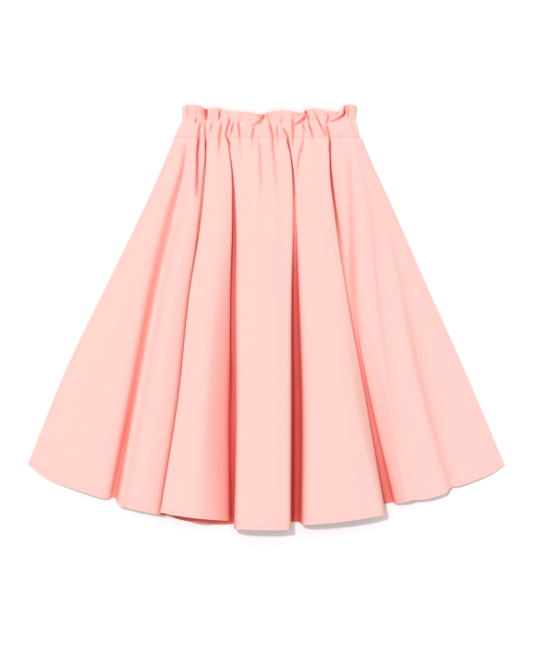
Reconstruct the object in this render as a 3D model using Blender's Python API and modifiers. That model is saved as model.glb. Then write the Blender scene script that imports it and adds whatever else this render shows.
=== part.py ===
"""A gathered midi skirt with a frilled elastic waist, laid flat with its front up.

The waist points along +Y and the hem along -Y, and the skirt rests on Z = 0. All sizes below are in
millimetres, and mesh_object turns them into metres. Each panel is a stack of sections across the skirt,
from the waist seam down to the hem. A section is a smooth curve through a few points at each fold, whose
places come from the tables of folds, and it may turn back under itself.
"""

from collections import namedtuple

import bpy
import numpy as np

MM = 0.001

# The cloth and the seams
CLOTH = 1.2
FRILL_CLOTH = 1.6
SEAM_GAP = 0.3
LAYER_GAP = 0.4

# The front panel's middle surface lies this high where it rests on the back panel
EDGE_Z = 1.5 * CLOTH + LAYER_GAP

# The outline, seen from above. The hem lies close to an arc about the point where the flared sides would
# meet, and each piece of it has its own radius.
SEAM_Y = 331.0
STITCH_Y = 364.5
APEX = (6.0, 720.0)
SIDE_HEM_RADIUS = (1088.0, 1084.0)
SIDE_AT_STITCH = (-156.0, 165.0)

# Where the tables below give their values, as shares of the way from the waist seam to the hem
STATIONS = np.array([0.0, 0.08, 0.2, 0.4, 0.7, 1.0])

# The left and right side edges
SIDES = ((-169, -190, -222, -280, -368, -441), (176, 196.5, 230, 283, 364, 441))

# A deep fold, where one tongue of cloth stands over an open valley. lip is the x of the edge that shows,
# gap is the open width to its right, and side is 1 where the left edge overhangs it, -1 where the right does.
DeepFold = namedtuple("DeepFold", "name lip gap side floor hem_radius")
DEEP_FOLDS = {
    fold.name: fold
    for fold in (
        DeepFold(
            "left_valley",
            lip=(-73, -65, -63, -66, -66, -62),
            gap=(3, 3, 6, 9, 12, 4),
            side=(0, 0.7, 1, 0.8, -0.1, -1),
            floor=(4.5, 2.5, 0.5, -0.5, -1, -1),
            hem_radius=1100,
        ),
        DeepFold(
            "middle_valley",
            lip=(39, 47, 49, 47, 47, 46),
            gap=(3, 3, 5, 13, 21, 21),
            side=(0, 0.7, 1, 1, 1, 1),
            floor=(4.5, 2.5, 0.5, -0.5, -1, -1),
            hem_radius=1099,
        ),
        DeepFold(
            "right_overlap",
            lip=(117, 117, 126, 146, 182, 221),
            gap=(3, 3, 4, 7, 16, 14),
            side=(0, 0.7, 1, 1, 1, 1),
            floor=(4.5, 3, 1, 0, -0.5, -0.5),
            hem_radius=1082,
        ),
    )
}

# The points of a deep fold's section on each side of its valley, from the shoulder down. reach is how far
# the point lies outside the lip, as a share of the shoulder's reach, tuck is 1 where it moves back under an
# overhanging lip, and height is a share of the tongue's height above the valley's floor.
LipPoint = namedtuple("LipPoint", "reach tuck height")
LIP_SECTION = (
    LipPoint(1.00, 0, 0.97),
    LipPoint(0.40, 0, 0.88),
    LipPoint(-0.15, 0, 0.58),
    LipPoint(0.00, 1, 0.24),
)
SHOULDER_REACH = (4, 8, 13, 18, 22, 24)
UNDERCUT = 0.26
LIP_SETBACK = 0.2
SLOPE_REACH = 0.45
SLOPE_SHARE = 0.3
FLOOR_SHARE = 0.4

# A tight overlap, where the cloth on the right lies on the cloth on the left. over says how much of the
# overlap there is at each station, from a plain groove at 0, and reach is how far it spreads each way.
Overlap = namedtuple("Overlap", "name lip over reach floor hem_radius")
OVERLAPS = {
    "left_overlap": Overlap(
        "left_overlap",
        lip=(-112, -114, -122, -142, -168, -197),
        over=(0, 0.5, 0.9, 1, 1, 1),
        reach=(8, 13, 17, 21, 25, 27),
        floor=(4.5, 3.5, 3, 3, 3, 3),
        hem_radius=1100,
    )
}

# The points of an overlap's section, from left to right, first as a plain groove and then fully overlapped.
# x is a share of the reach, and left and right are shares of the heights of the cloth on the two sides.
OverlapPoint = namedtuple("OverlapPoint", "groove_x groove_left groove_right x left right")
OVERLAP_SECTION = (
    OverlapPoint(-1.00, 1.00, 0.00, -1.00, 1.00, 0.00),
    OverlapPoint(-0.60, 0.90, 0.00, -0.35, 0.97, 0.00),
    OverlapPoint(-0.40, 0.60, 0.00, 0.22, 0.80, 0.00),
    OverlapPoint(-0.20, 0.25, 0.00, 0.50, 0.35, 0.00),
    OverlapPoint(0.00, 0.00, 0.00, 0.62, 0.00, 0.00),
    OverlapPoint(0.15, 0.00, 0.15, 0.70, 0.45, 0.08),
    OverlapPoint(0.30, 0.00, 0.40, 0.30, 1.00, 0.14),
    OverlapPoint(0.45, 0.00, 0.65, -0.10, 0.75, 0.36),
    OverlapPoint(0.65, 0.00, 0.90, 0.22, 0.25, 0.72),
    OverlapPoint(1.00, 0.00, 1.00, 1.00, 0.00, 0.98),
)

# A soft groove, where the cloth only dips
SoftFold = namedtuple("SoftFold", "name line width depth hem_radius")
SOFT_FOLDS = {
    fold.name: fold
    for fold in (
        SoftFold("left_groove", (-155, -159, -178, -209, -247, -276), 15, (0, 1.5, 4, 6, 9, 10), 1092),
        SoftFold("left_crease", (-142, -142, -154, -183, -219, -258), 11, (0, 0, 0.5, 1.2, 2, 2), 1104),
        SoftFold("right_groove", (146, 155, 168, 203, 240, 280), 12, (0, 2, 3.5, 2.5, 1.5, 1), 1092),
        SoftFold("flare_groove", (165, 184, 211, 247, 286, 340), 14, (0, 0, 1.5, 3, 4, 4.5), 1087),
    )
}

WAIST_WIDTH = 0.4
FULL_WIDTH_SHARE = 0.3
CROWN_BULGE = 0.1
FLARE_RISE = 1.25

# A spline passes inside its points, so a depth is taken this much further
SPLINE_LOSS = 1.4

# A tongue of cloth between two folds: its height at each station, and how many section points cross it
Tongue = namedtuple("Tongue", "name crown hem_radius points")
TONGUES = {
    tongue.name: tongue
    for tongue in (
        Tongue("left_flare", (7, 9, 11, 13, 14, 13), 1099, 4),
        Tongue("left_ridge", (7, 11, 14, 16, 17, 17), 1104, 1),
        Tongue("left_strip", (7, 11, 14, 16, 17, 16), 1104, 1),
        Tongue("left_tongue", (7, 14, 21, 27, 31, 30), 1106, 3),
        Tongue("middle_tongue", (7, 15, 24, 32, 39, 41), 1112, 4),
        Tongue("right_tongue", (7, 14, 21, 28, 34, 35), 1105, 4),
        Tongue("right_ridge", (7, 12, 15, 18, 20, 18), 1090, 1),
        Tongue("right_panel", (7, 10, 14, 17, 19, 18), 1095, 3),
        Tongue("right_flare", (7, 9, 11, 12, 13, 11), 1090, 3),
    )
}

# The front's folds and tongues in order, from the left side seam to the right one
FRONT_ORDER = (
    "left_flare", "left_groove", "left_ridge", "left_crease", "left_strip", "left_overlap", "left_tongue",
    "left_valley", "middle_tongue", "middle_valley", "right_tongue", "right_overlap", "right_ridge",
    "right_groove", "right_panel", "flare_groove", "right_flare",
)

# A fold of the back panel, which rises under one of the front's tongues. width is from its middle to where
# the cloth lies flat again.
BackFold = namedtuple("BackFold", "name line width height hem_radius")
BACK_FOLDS = (
    BackFold("under_left_flare", (-140, -158, -190, -240, -300, -355), (12, 16, 22, 26, 30, 34),
             (0, 0.5, 2, 4, 5, 5), 1090),
    BackFold("under_left_tongue", (-92, -90, -94, -104, -116, -130), (12, 16, 20, 26, 30, 34),
             (0, 3, 8, 13, 16, 15), 1109),
    BackFold("under_middle_tongue", (-14, -9, -8, -8, -8, -8), (14, 18, 24, 30, 36, 36),
             (0, 4, 10, 16, 21, 23), 1100),
    BackFold("under_right_tongue", (78, 82, 90, 100, 120, 146), (12, 16, 20, 28, 34, 38),
             (0, 3, 8, 13, 17, 18), 1098),
    BackFold("under_right_flare", (146, 162, 190, 232, 280, 318), (12, 16, 20, 24, 28, 32),
             (0, 0.5, 3, 5, 7, 7), 1084),
)

# The points of a back fold's section, as shares of its width and height
BackPoint = namedtuple("BackPoint", "x height")
BACK_SECTION = (
    BackPoint(-1.00, 0.00),
    BackPoint(-0.65, 0.00),
    BackPoint(-0.40, 0.45),
    BackPoint(0.00, 1.25),
    BackPoint(0.40, 0.45),
    BackPoint(0.65, 0.00),
    BackPoint(1.00, 0.00),
)

# A gather: a crease that starts at the upper stitch line, crosses the casing and dies out down the panel.
# reach is how far it runs below the waist seam, and is 0 where it goes on as one of the deep folds.
Gather = namedtuple("Gather", "at_stitch at_seam depth reach")
GATHERS = (
    Gather(-131, -125, 2.8, 95),
    Gather(-116, -112, 2.0, 0),
    Gather(-98, -103, 1.4, 25),
    Gather(-82, -88, 2.2, 60),
    Gather(-69, -73, 2.2, 0),
    Gather(-60, -62, 1.4, 20),
    Gather(-50, -47, 1.6, 60),
    Gather(-35, -38, 1.3, 24),
    Gather(-22, -27, 2.0, 30),
    Gather(-11, -14, 1.8, 70),
    Gather(3, 10, 2.0, 80),
    Gather(18, 21, 1.6, 40),
    Gather(30, 39, 2.2, 0),
    Gather(50, 50, 1.6, 40),
    Gather(60, 67, 1.8, 75),
    Gather(77, 86, 1.8, 40),
    Gather(96, 106, 1.6, 25),
    Gather(110, 117, 2.4, 0),
    Gather(134, 137, 0.9, 20),
    Gather(158, 165, 1.2, 30),
)
GATHER_WIDTH = 3.2
GATHER_SPREAD = 0.05
GATHER_DRIFT = 0.12
GATHER_FLATNESS = 1.6

# The casing: an elastic between two layers of cloth, puffed up between its gathers
CASING_WALL = 2.8
CASING_HOLLOW = 0.8
CASING_PUFF = 1.2
CASING_SIDE_ROUND = 4.0
SIDE_COLUMN = 0.2
CASING_CREASE = 0.8
BACK_CREASE = 0.35

# The frill's front in order from left to right. Each row is a point of its section where it leaves the
# upper stitch line (base) and at its upper edge (top); rows that step back in x are lobes that overlap.
FrillPoint = namedtuple("FrillPoint", "base_x top_x top_y base_z top_z")
FRILL_FRONT = (
    FrillPoint(-152, -154, 390, 5.5, 6),
    FrillPoint(-143, -143, 392, 7, 11),
    FrillPoint(-135, -133, 392, 6.5, 13),
    FrillPoint(-127, -124, 391, 7, 11),
    FrillPoint(-119, -115, 386, 5.5, 5),
    FrillPoint(-115, -110, 384, 5, 3.5),
    FrillPoint(-112, -111, 384, 6, 9),
    FrillPoint(-108, -104, 386, 7, 13),
    FrillPoint(-98, -94, 387, 7, 11),
    FrillPoint(-88, -84, 385, 6, 6),
    FrillPoint(-78, -72, 382, 7, 9),
    FrillPoint(-67, -60, 380, 6.5, 10),
    FrillPoint(-55, -46, 380, 7, 9),
    FrillPoint(-43, -32, 379, 7, 8),
    FrillPoint(-32, -18, 376, 6.5, 6),
    FrillPoint(-22, -2, 375, 5.5, 3.5),
    FrillPoint(-18, 5, 375, 5.5, 4),
    FrillPoint(-14, -4, 376, 6.5, 11),
    FrillPoint(-8, 5, 380, 7.5, 13),
    FrillPoint(6, 20, 382, 7, 11),
    FrillPoint(21, 34, 382, 7, 9),
    FrillPoint(34, 48, 381, 7, 8),
    FrillPoint(44, 60, 378, 6, 4.5),
    FrillPoint(50, 74, 377, 5.5, 4),
    FrillPoint(55, 67, 380, 6.5, 11),
    FrillPoint(63, 77, 385, 7.5, 13),
    FrillPoint(76, 90, 386, 7, 11),
    FrillPoint(92, 104, 383, 7, 9),
    FrillPoint(104, 117, 381, 7, 8),
    FrillPoint(112, 132, 380, 6, 4.5),
    FrillPoint(118, 147, 380, 5.5, 4),
    FrillPoint(123, 140, 388, 6.5, 11),
    FrillPoint(134, 148, 393, 7.5, 13),
    FrillPoint(147, 158, 393, 7, 11),
    FrillPoint(160, 167, 390, 5.5, 6),
)
FRILL_SIDE = (-157.0, 168.0)
FRILL_BACK_WAVES = 9
FRILL_BACK_TOP = 374.0
FRILL_BACK_SIDE_TOP = 388.0
FRILL_BACK_WAVE = 1.6
FRILL_SIDE_SHARE = 0.08
FRILL_SWELL_SHARE = 0.8

# How finely the solids are divided
PANEL_ROWS = (0, 0.02, 0.045, 0.08, 0.135, 0.21, 0.31, 0.43, 0.57, 0.72, 0.87, 1)
CROWN_STEPS = 3
FLARE_STEPS = 2
SOFT_STEPS = 2
DEEP_STEPS = (1, 2, 2, 1, 1, 2, 2, 1)
OVERLAP_STEPS = (1, 1, 2, 2, 1, 2, 2, 2, 1)
BACK_STEPS = 2
CASING_ROWS = (0, 0.5, 1)
FRILL_ROWS = (0, 0.06, 0.3, 0.62, 1)
FRILL_STEPS = 2

PINK = (0.97, 0.64, 0.59, 1.0)
CLOTH_ROUGHNESS = 0.85


def along(values, share):
    """A table's values at the stations, read at any share of the way down: a smooth curve through them."""
    values = np.asarray(values, float)
    slopes = np.gradient(values, STATIONS)
    span = np.clip(np.searchsorted(STATIONS, share, side="right") - 1, 0, len(STATIONS) - 2)
    width = STATIONS[span + 1] - STATIONS[span]
    q = (share - STATIONS[span]) / width
    return (
        values[span] * (1 + 2 * q) * (1 - q) ** 2
        + slopes[span] * width * q * (1 - q) ** 2
        + values[span + 1] * q * q * (3 - 2 * q)
        + slopes[span + 1] * width * q * q * (q - 1)
    )


def smooth_step(q):
    """0 below q = 0, 1 above q = 1, and an S curve between."""
    q = np.clip(q, 0, 1)
    return q * q * (3 - 2 * q)


def spline(points, places):
    """A cubic B-spline over points (first axis) that starts and ends on the end points, read at places."""
    ends = (2 * points[:1] - points[1:2], points, 2 * points[-1:] - points[-2:-1])
    padded = np.concatenate(ends)
    span = np.clip(np.floor(places).astype(int), 0, len(points) - 2)
    q = (places - span).reshape((-1,) + (1,) * (points.ndim - 1))
    weights = (
        (1 - q) ** 3 / 6,
        (3 * q**3 - 6 * q**2 + 4) / 6,
        (-3 * q**3 + 3 * q**2 + 3 * q + 1) / 6,
        q**3 / 6,
    )
    return sum(weight * padded[span + i] for i, weight in enumerate(weights))


def closed_spline(points, places):
    """The same B-spline over a closed ring of points."""
    span = np.floor(places).astype(int)
    q = (places - span).reshape((-1,) + (1,) * (points.ndim - 1))
    weights = (
        (1 - q) ** 3 / 6,
        (3 * q**3 - 6 * q**2 + 4) / 6,
        (-3 * q**3 + 3 * q**2 + 3 * q + 1) / 6,
        q**3 / 6,
    )
    return sum(weight * points[(span + i - 1) % len(points)] for i, weight in enumerate(weights))


def hem_y(x, radius):
    """The hem's y at x, on an arc about the point where the flared sides would meet."""
    return APEX[1] - np.sqrt(radius**2 - (x - APEX[0]) ** 2)


def crease_depth(x, y):
    """How far the gathers press the cloth down at a point seen from above."""
    below = np.maximum(SEAM_Y - y, 0)
    up = np.clip((y - SEAM_Y) / (STITCH_Y - SEAM_Y), 0, 1)
    depth = np.zeros_like(x)
    for gather in GATHERS:
        line = gather.at_seam + (gather.at_stitch - gather.at_seam) * up
        drift = GATHER_DRIFT * below * (gather.at_seam - APEX[0]) / SIDES[1][0]
        width = GATHER_WIDTH + GATHER_SPREAD * below
        fade = 1 - smooth_step(below / gather.reach) if gather.reach else below == 0
        depth += gather.depth * fade * np.exp(-(np.abs(x - line - drift) / width) ** GATHER_FLATNESS)
    return depth


def deep_fold_points(fold, left_crown, right_crown, share):
    """The section points of a deep fold, from its left shoulder to its right one, as (x, z) rows."""
    lip, gap, side = (along(v, share) for v in (fold.lip, fold.gap, fold.side))
    floor, reach = along(fold.floor, share), along(SHOULDER_REACH, share)
    left_drop, right_drop = left_crown - floor, right_crown - floor
    left_over, right_over = np.clip(side, 0, 1), np.clip(-side, 0, 1)
    left_lip = lip - LIP_SETBACK * reach * right_over
    right_lip = lip + gap + LIP_SETBACK * reach * left_over
    left_tuck = UNDERCUT * left_drop * left_over - SLOPE_REACH * reach * right_over
    right_tuck = UNDERCUT * right_drop * right_over - SLOPE_SHARE * gap * left_over
    left, right = [], []
    for p in LIP_SECTION:
        left.append((left_lip - p.reach * reach - p.tuck * left_tuck, floor + p.height * left_drop))
        right.append((right_lip + p.reach * reach + p.tuck * right_tuck, floor + p.height * right_drop))
    bottom = (lip + FLOOR_SHARE * gap + SLOPE_SHARE * reach * right_over, floor)
    return left + [bottom] + right[::-1]


def overlap_points(fold, left_crown, right_crown, share):
    """The section points of a tight overlap, as (x, z) rows."""
    lip, over, reach, floor = (along(v, share) for v in (fold.lip, fold.over, fold.reach, fold.floor))
    left_drop, right_drop = left_crown - floor, right_crown - floor
    over = np.clip(over, 0, 1)
    points = []
    for p in OVERLAP_SECTION:
        x = p.groove_x + (p.x - p.groove_x) * over
        left = p.groove_left + (p.left - p.groove_left) * over
        right = p.groove_right + (p.right - p.groove_right) * over
        points.append((lip + x * reach, floor + left * left_drop + right * right_drop))
    return points


def soft_fold_points(fold, left_crown, right_crown, share):
    """The section points of a soft groove, as (x, z) rows. It is narrower near the waist."""
    line, depth = along(fold.line, share), along(fold.depth, share)
    half = 0.5 * fold.width * (WAIST_WIDTH + (1 - WAIST_WIDTH) * smooth_step(share / FULL_WIDTH_SHARE))
    low = 0.5 * (left_crown + right_crown) - SPLINE_LOSS * depth
    return [(line - half, left_crown), (line, low), (line + half, right_crown)]


def fold_points(name, left_crown, right_crown, share):
    """The fold of that name: its section points, the steps between them, and its radius at the hem."""
    if name in DEEP_FOLDS:
        fold = DEEP_FOLDS[name]
        return deep_fold_points(fold, left_crown, right_crown, share), DEEP_STEPS, fold.hem_radius
    if name in OVERLAPS:
        fold = OVERLAPS[name]
        return overlap_points(fold, left_crown, right_crown, share), OVERLAP_STEPS, fold.hem_radius
    fold = SOFT_FOLDS[name]
    points = soft_fold_points(fold, left_crown, right_crown, share)
    return points, (SOFT_STEPS, SOFT_STEPS), fold.hem_radius


def tongue_points(tongue, crown, start, stop, edge_side):
    """The section points across a tongue, from one fold to the next, as (x, z) rows. A tongue at a side of
    the skirt (edge_side -1 on the left, 1 on the right, or else 0) slopes down to the side seam."""
    rows = []
    for k in range(tongue.points):
        place = (k + 1) / (tongue.points + 1)
        height = crown * (1 + CROWN_BULGE * np.sin(np.pi * place))
        if edge_side:
            inward = place if edge_side < 0 else 1 - place
            height = EDGE_Z + (crown - EDGE_Z) * np.sin(0.5 * np.pi * min(1.0, FLARE_RISE * inward))
        rows.append((start + (stop - start) * place, height))
    return rows


def hung_from_seam(rows, share):
    """Section points as an array of points by rows by (x, y, z). Each one's y runs evenly from the waist seam
    to the hem."""
    top = SEAM_Y - SEAM_GAP
    points = [np.stack([x, top + (hem_y(x[-1], radius) - top) * share, z], 1) for x, z, radius in rows]
    return np.stack(points)


def front_controls(share):
    """The front's section points at each row, and the steps between them."""
    crowns = {name: along(tongue.crown, share) for name, tongue in TONGUES.items()}
    last = len(FRONT_ORDER) - 1
    folds = {
        i: fold_points(FRONT_ORDER[i], crowns[FRONT_ORDER[i - 1]], crowns[FRONT_ORDER[i + 1]], share)
        for i in range(1, last, 2)
    }
    rows, steps = [(along(SIDES[0], share), EDGE_Z + 0 * share, SIDE_HEM_RADIUS[0])], []
    for i, name in enumerate(FRONT_ORDER):
        if i in folds:
            points, fold_steps, radius = folds[i]
            radii = TONGUES[FRONT_ORDER[i - 1]].hem_radius, TONGUES[FRONT_ORDER[i + 1]].hem_radius
            bottom = min(range(len(points)), key=lambda k: points[k][1][-1])
            for k, (x, z) in enumerate(points):
                rows.append((x, z, radius if k == bottom else radii[k > bottom]))
            steps.extend(fold_steps)
        else:
            tongue = TONGUES[name]
            edge_side = {0: -1, last: 1}.get(i, 0)
            stop = along(SIDES[1], share) if i == last else folds[i + 1][0][0][0]
            for x, z in tongue_points(tongue, crowns[name], rows[-1][0], stop, edge_side):
                rows.append((x, z, tongue.hem_radius))
            step = FLARE_STEPS if edge_side or tongue.points == 1 else CROWN_STEPS
            steps.extend([step] * (tongue.points + 1))
    rows.append((along(SIDES[1], share), EDGE_Z + 0 * share, SIDE_HEM_RADIUS[1]))
    return hung_from_seam(rows, share), steps


def places_of(steps):
    """The places along a spline that divide each of its spans into its own number of steps."""
    inner = [i + k / count for i, count in enumerate(steps) for k in range(count)]
    return np.array(inner + [len(steps)])


def front_sheet():
    """The front panel's middle surface: columns across, rows down."""
    points, steps = front_controls(np.array(PANEL_ROWS, float))
    sheet = spline(points, places_of(steps))
    sheet[:, :, 2] -= crease_depth(sheet[:, :, 0], sheet[:, :, 1])
    sheet[:, :, 2] = np.maximum(sheet[:, :, 2], EDGE_Z)
    return sheet


def back_sheet():
    """The back panel's middle surface. It lies flat, and its folds rise under the front's tongues."""
    share = np.array(PANEL_ROWS, float)
    flat = 0.5 * CLOTH + 0 * share
    rows = [(along(SIDES[0], share), flat, SIDE_HEM_RADIUS[0])]
    for fold in BACK_FOLDS:
        line, width = along(fold.line, share), along(fold.width, share)
        height = np.maximum(along(fold.height, share), 0)
        for p in BACK_SECTION:
            rows.append((line + p.x * width, flat + p.height * height, fold.hem_radius))
    rows.append((along(SIDES[1], share), flat, SIDE_HEM_RADIUS[1]))
    return spline(hung_from_seam(rows, share), places_of([BACK_STEPS] * (len(rows) - 1)))


def frill_loop():
    """The frill's middle surface: a closed loop of columns, and rows from the stitch line up. It stands
    straight up for its first row, so that its wall meets the casing squarely."""
    rows_up = np.array(FRILL_ROWS)
    up = np.clip((rows_up - rows_up[1]) / (1 - rows_up[1]), 0, 1)
    swell = smooth_step(up / FRILL_SWELL_SHARE)
    bottom = STITCH_Y + SEAM_GAP
    rows = []
    for point in FRILL_FRONT:
        rows.append((
            point.base_x + (point.top_x - point.base_x) * up,
            bottom + (point.top_y - bottom) * rows_up,
            point.base_z + (point.top_z - point.base_z) * swell,
        ))
    left, right = FRILL_SIDE
    count = 2 * FRILL_BACK_WAVES + 1
    for k in range(count):
        place = k / (count - 1)
        near_side = max(0.0, 1 - min(place, 1 - place) / FRILL_SIDE_SHARE)
        top = FRILL_BACK_TOP + (FRILL_BACK_SIDE_TOP - FRILL_BACK_TOP) * near_side
        wave = FRILL_BACK_WAVE * (k % 2) * (1 - near_side)
        rows.append((
            right + (left - right) * place + 0 * up,
            bottom + (top - bottom) * rows_up,
            0.5 * FRILL_CLOTH + wave * up,
        ))
    points = np.stack([np.stack(row, 1) for row in rows])
    return closed_spline(points, np.arange(0, len(points), 1 / FRILL_STEPS))


def casing_columns():
    """Where the casing's columns cross it, as x at the waist seam and at the stitch line: one along each
    gather, one at each side of it, and one half-way to the next."""
    gathers = np.array([(g.at_seam, g.at_stitch) for g in GATHERS], float)
    left = np.array([(SIDES[0][0], SIDE_AT_STITCH[0])], float)
    right = np.array([(SIDES[1][0], SIDE_AT_STITCH[1])], float)
    stops = np.concatenate([left, gathers, right])
    sides = [left + reach * CASING_SIDE_ROUND for reach in (0, SIDE_COLUMN, 1)]
    sides += [right - reach * CASING_SIDE_ROUND for reach in (0, SIDE_COLUMN)]
    columns = [gathers, gathers - GATHER_WIDTH, gathers + GATHER_WIDTH, 0.5 * (stops[1:] + stops[:-1])]
    columns = np.concatenate(columns + sides)
    return columns[np.argsort(columns.sum(1))]


def casing_skins():
    """The casing's outer and inner skins, each a closed loop of columns by rows from the seam up."""
    up = np.array(CASING_ROWS)
    columns = casing_columns()
    x = columns[:, :1] + (columns[:, 1:] - columns[:, :1]) * up
    left, right = x[0], x[-1]
    y = SEAM_Y + (STITCH_Y - SEAM_Y) * up + 0 * x
    half = CASING_WALL + 0.5 * CASING_HOLLOW
    edge = np.clip(np.minimum(x - left, right - x) / CASING_SIDE_ROUND, 0, 1)
    bulge = np.sqrt(1 - (1 - edge) ** 2)
    top_z = half + (half + CASING_PUFF - CASING_CREASE * crease_depth(x, y)) * bulge
    turned = left + right - x
    bottom_z = half - (half - BACK_CREASE * crease_depth(turned, y)) * bulge
    outer = np.concatenate([np.stack([x, y, top_z], 2), np.stack([x, y, bottom_z], 2)[-2:0:-1]])
    middle = 0.5 * (left + right)
    inner_x = middle + (x - middle) * (1 - CASING_WALL / (right - middle))
    lift = 0.5 * CASING_HOLLOW * np.minimum(1, edge / SIDE_COLUMN)
    inner = np.concatenate([
        np.stack([inner_x, y, half + lift], 2),
        np.stack([inner_x, y, half - lift], 2)[-2:0:-1],
    ])
    return outer, inner


def grid_faces(columns, rows, closed=False, first=0, flip=False):
    """Quads over a grid of columns by rows whose points are numbered column by column from first."""
    faces = []
    for i in range(columns if closed else columns - 1):
        a, b = first + i * rows, first + (i + 1) % columns * rows
        for k in range(rows - 1):
            face = (a + k, b + k, b + k + 1, a + k + 1)
            faces.append(face[::-1] if flip else face)
    return faces


def mesh_object(name, points, faces, collection):
    """An object from points in millimetres, with its own cloth."""
    mesh = bpy.data.meshes.new(name)
    mesh.from_pydata((points.reshape(-1, 3) * MM).tolist(), [], faces)
    mesh.validate()
    mesh.materials.append(cloth_material(name + "_cloth"))
    mesh.shade_smooth()
    obj = bpy.data.objects.new(name, mesh)
    collection.objects.link(obj)
    return obj


def cloth_panel(name, sheet, thickness, collection, closed=False):
    """A sheet of cloth with its wall, half on each side of the surface."""
    columns, rows = sheet.shape[:2]
    faces = grid_faces(columns, rows, closed, flip=True)
    obj = mesh_object(name, sheet, faces, collection)
    solidify = obj.modifiers.new("wall", "SOLIDIFY")
    solidify.thickness = thickness * MM
    solidify.offset = 0


def waist_casing(collection):
    """The casing, lofted between its outer and inner skins because its wall isn't even."""
    outer, inner = casing_skins()
    columns, rows = outer.shape[:2]
    first = columns * rows
    faces = grid_faces(columns, rows, closed=True)
    faces += grid_faces(columns, rows, closed=True, first=first, flip=True)
    for i in range(columns):
        j = (i + 1) % columns
        for k, turn in ((0, 1), (rows - 1, -1)):
            a, b = i * rows + k, j * rows + k
            faces.append((a, first + a, first + b, b)[::turn])
    mesh_object("waist_casing", np.concatenate([outer, inner]), faces, collection)


def cloth_material(name):
    """Matte pink cloth."""
    material = bpy.data.materials.new(name)
    material.use_nodes = True
    shader = material.node_tree.nodes["Principled BSDF"]
    shader.inputs["Base Color"].default_value = PINK
    shader.inputs["Roughness"].default_value = CLOTH_ROUGHNESS
    shader.inputs["Metallic"].default_value = 0.0
    return material


def main():
    for obj in list(bpy.data.objects):
        bpy.data.objects.remove(obj)
    collection = bpy.data.collections.new("gathered_skirt")
    bpy.context.scene.collection.children.link(collection)
    cloth_panel("front_panel", front_sheet(), CLOTH, collection)
    cloth_panel("back_panel", back_sheet(), CLOTH, collection)
    waist_casing(collection)
    cloth_panel("waist_frill", frill_loop(), FRILL_CLOTH, collection, closed=True)


main()
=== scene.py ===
"""The looks of a gathered midi skirt that is laid flat with its front up: its cloth, stitching and stage.

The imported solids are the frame. Each piece of cloth is a finer surface of the same form as the solid that it
replaces. The tables and the functions of shape are in millimetres, with +X to the right, +Y from the hem to
the waist and +Z up from the surface that the skirt lies on, and new_piece turns them into metres.
"""

from collections import namedtuple

import bpy
import numpy as np
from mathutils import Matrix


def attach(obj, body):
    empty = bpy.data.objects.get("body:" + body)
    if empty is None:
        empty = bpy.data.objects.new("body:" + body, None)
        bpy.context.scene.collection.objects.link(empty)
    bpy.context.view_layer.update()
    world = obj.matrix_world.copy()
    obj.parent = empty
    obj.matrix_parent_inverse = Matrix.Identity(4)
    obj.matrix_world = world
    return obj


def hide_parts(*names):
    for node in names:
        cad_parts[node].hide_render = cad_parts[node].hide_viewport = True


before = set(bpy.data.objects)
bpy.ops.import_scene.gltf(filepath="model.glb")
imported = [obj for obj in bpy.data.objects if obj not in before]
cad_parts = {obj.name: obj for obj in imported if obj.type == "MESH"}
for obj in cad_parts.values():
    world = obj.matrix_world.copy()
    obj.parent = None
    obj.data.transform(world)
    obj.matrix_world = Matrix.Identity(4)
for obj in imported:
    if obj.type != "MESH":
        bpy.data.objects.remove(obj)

bl_info = {
    "name": "Gathered skirt",
    "version": (1, 0, 0),
    "blender": (4, 5, 0),
    "location": "3D View > Sidebar > Skirt",
    "description": "Builds the cloth, the stitching and the stage of a gathered skirt laid flat",
    "category": "Add Mesh",
}

MM = 0.001
BODY = "root"

# The outline of the skirt, seen from above. The hem lies close to an arc about the point where the flared
# sides would meet, and each piece of it has its own radius.
SEAM_Y = 331.0
STITCH_Y = 364.5
APEX = (6.0, 720.0)
SIDE_HEM_RADIUS = (1088.0, 1084.0)

# Where the tables give their values, as shares of the way from the waist seam to the hem
STATIONS = np.array([0.0, 0.08, 0.2, 0.4, 0.7, 1.0])
SIDES = ((-169, -190, -222, -280, -368, -441), (176, 196.5, 230, 283, 364, 441))

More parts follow.
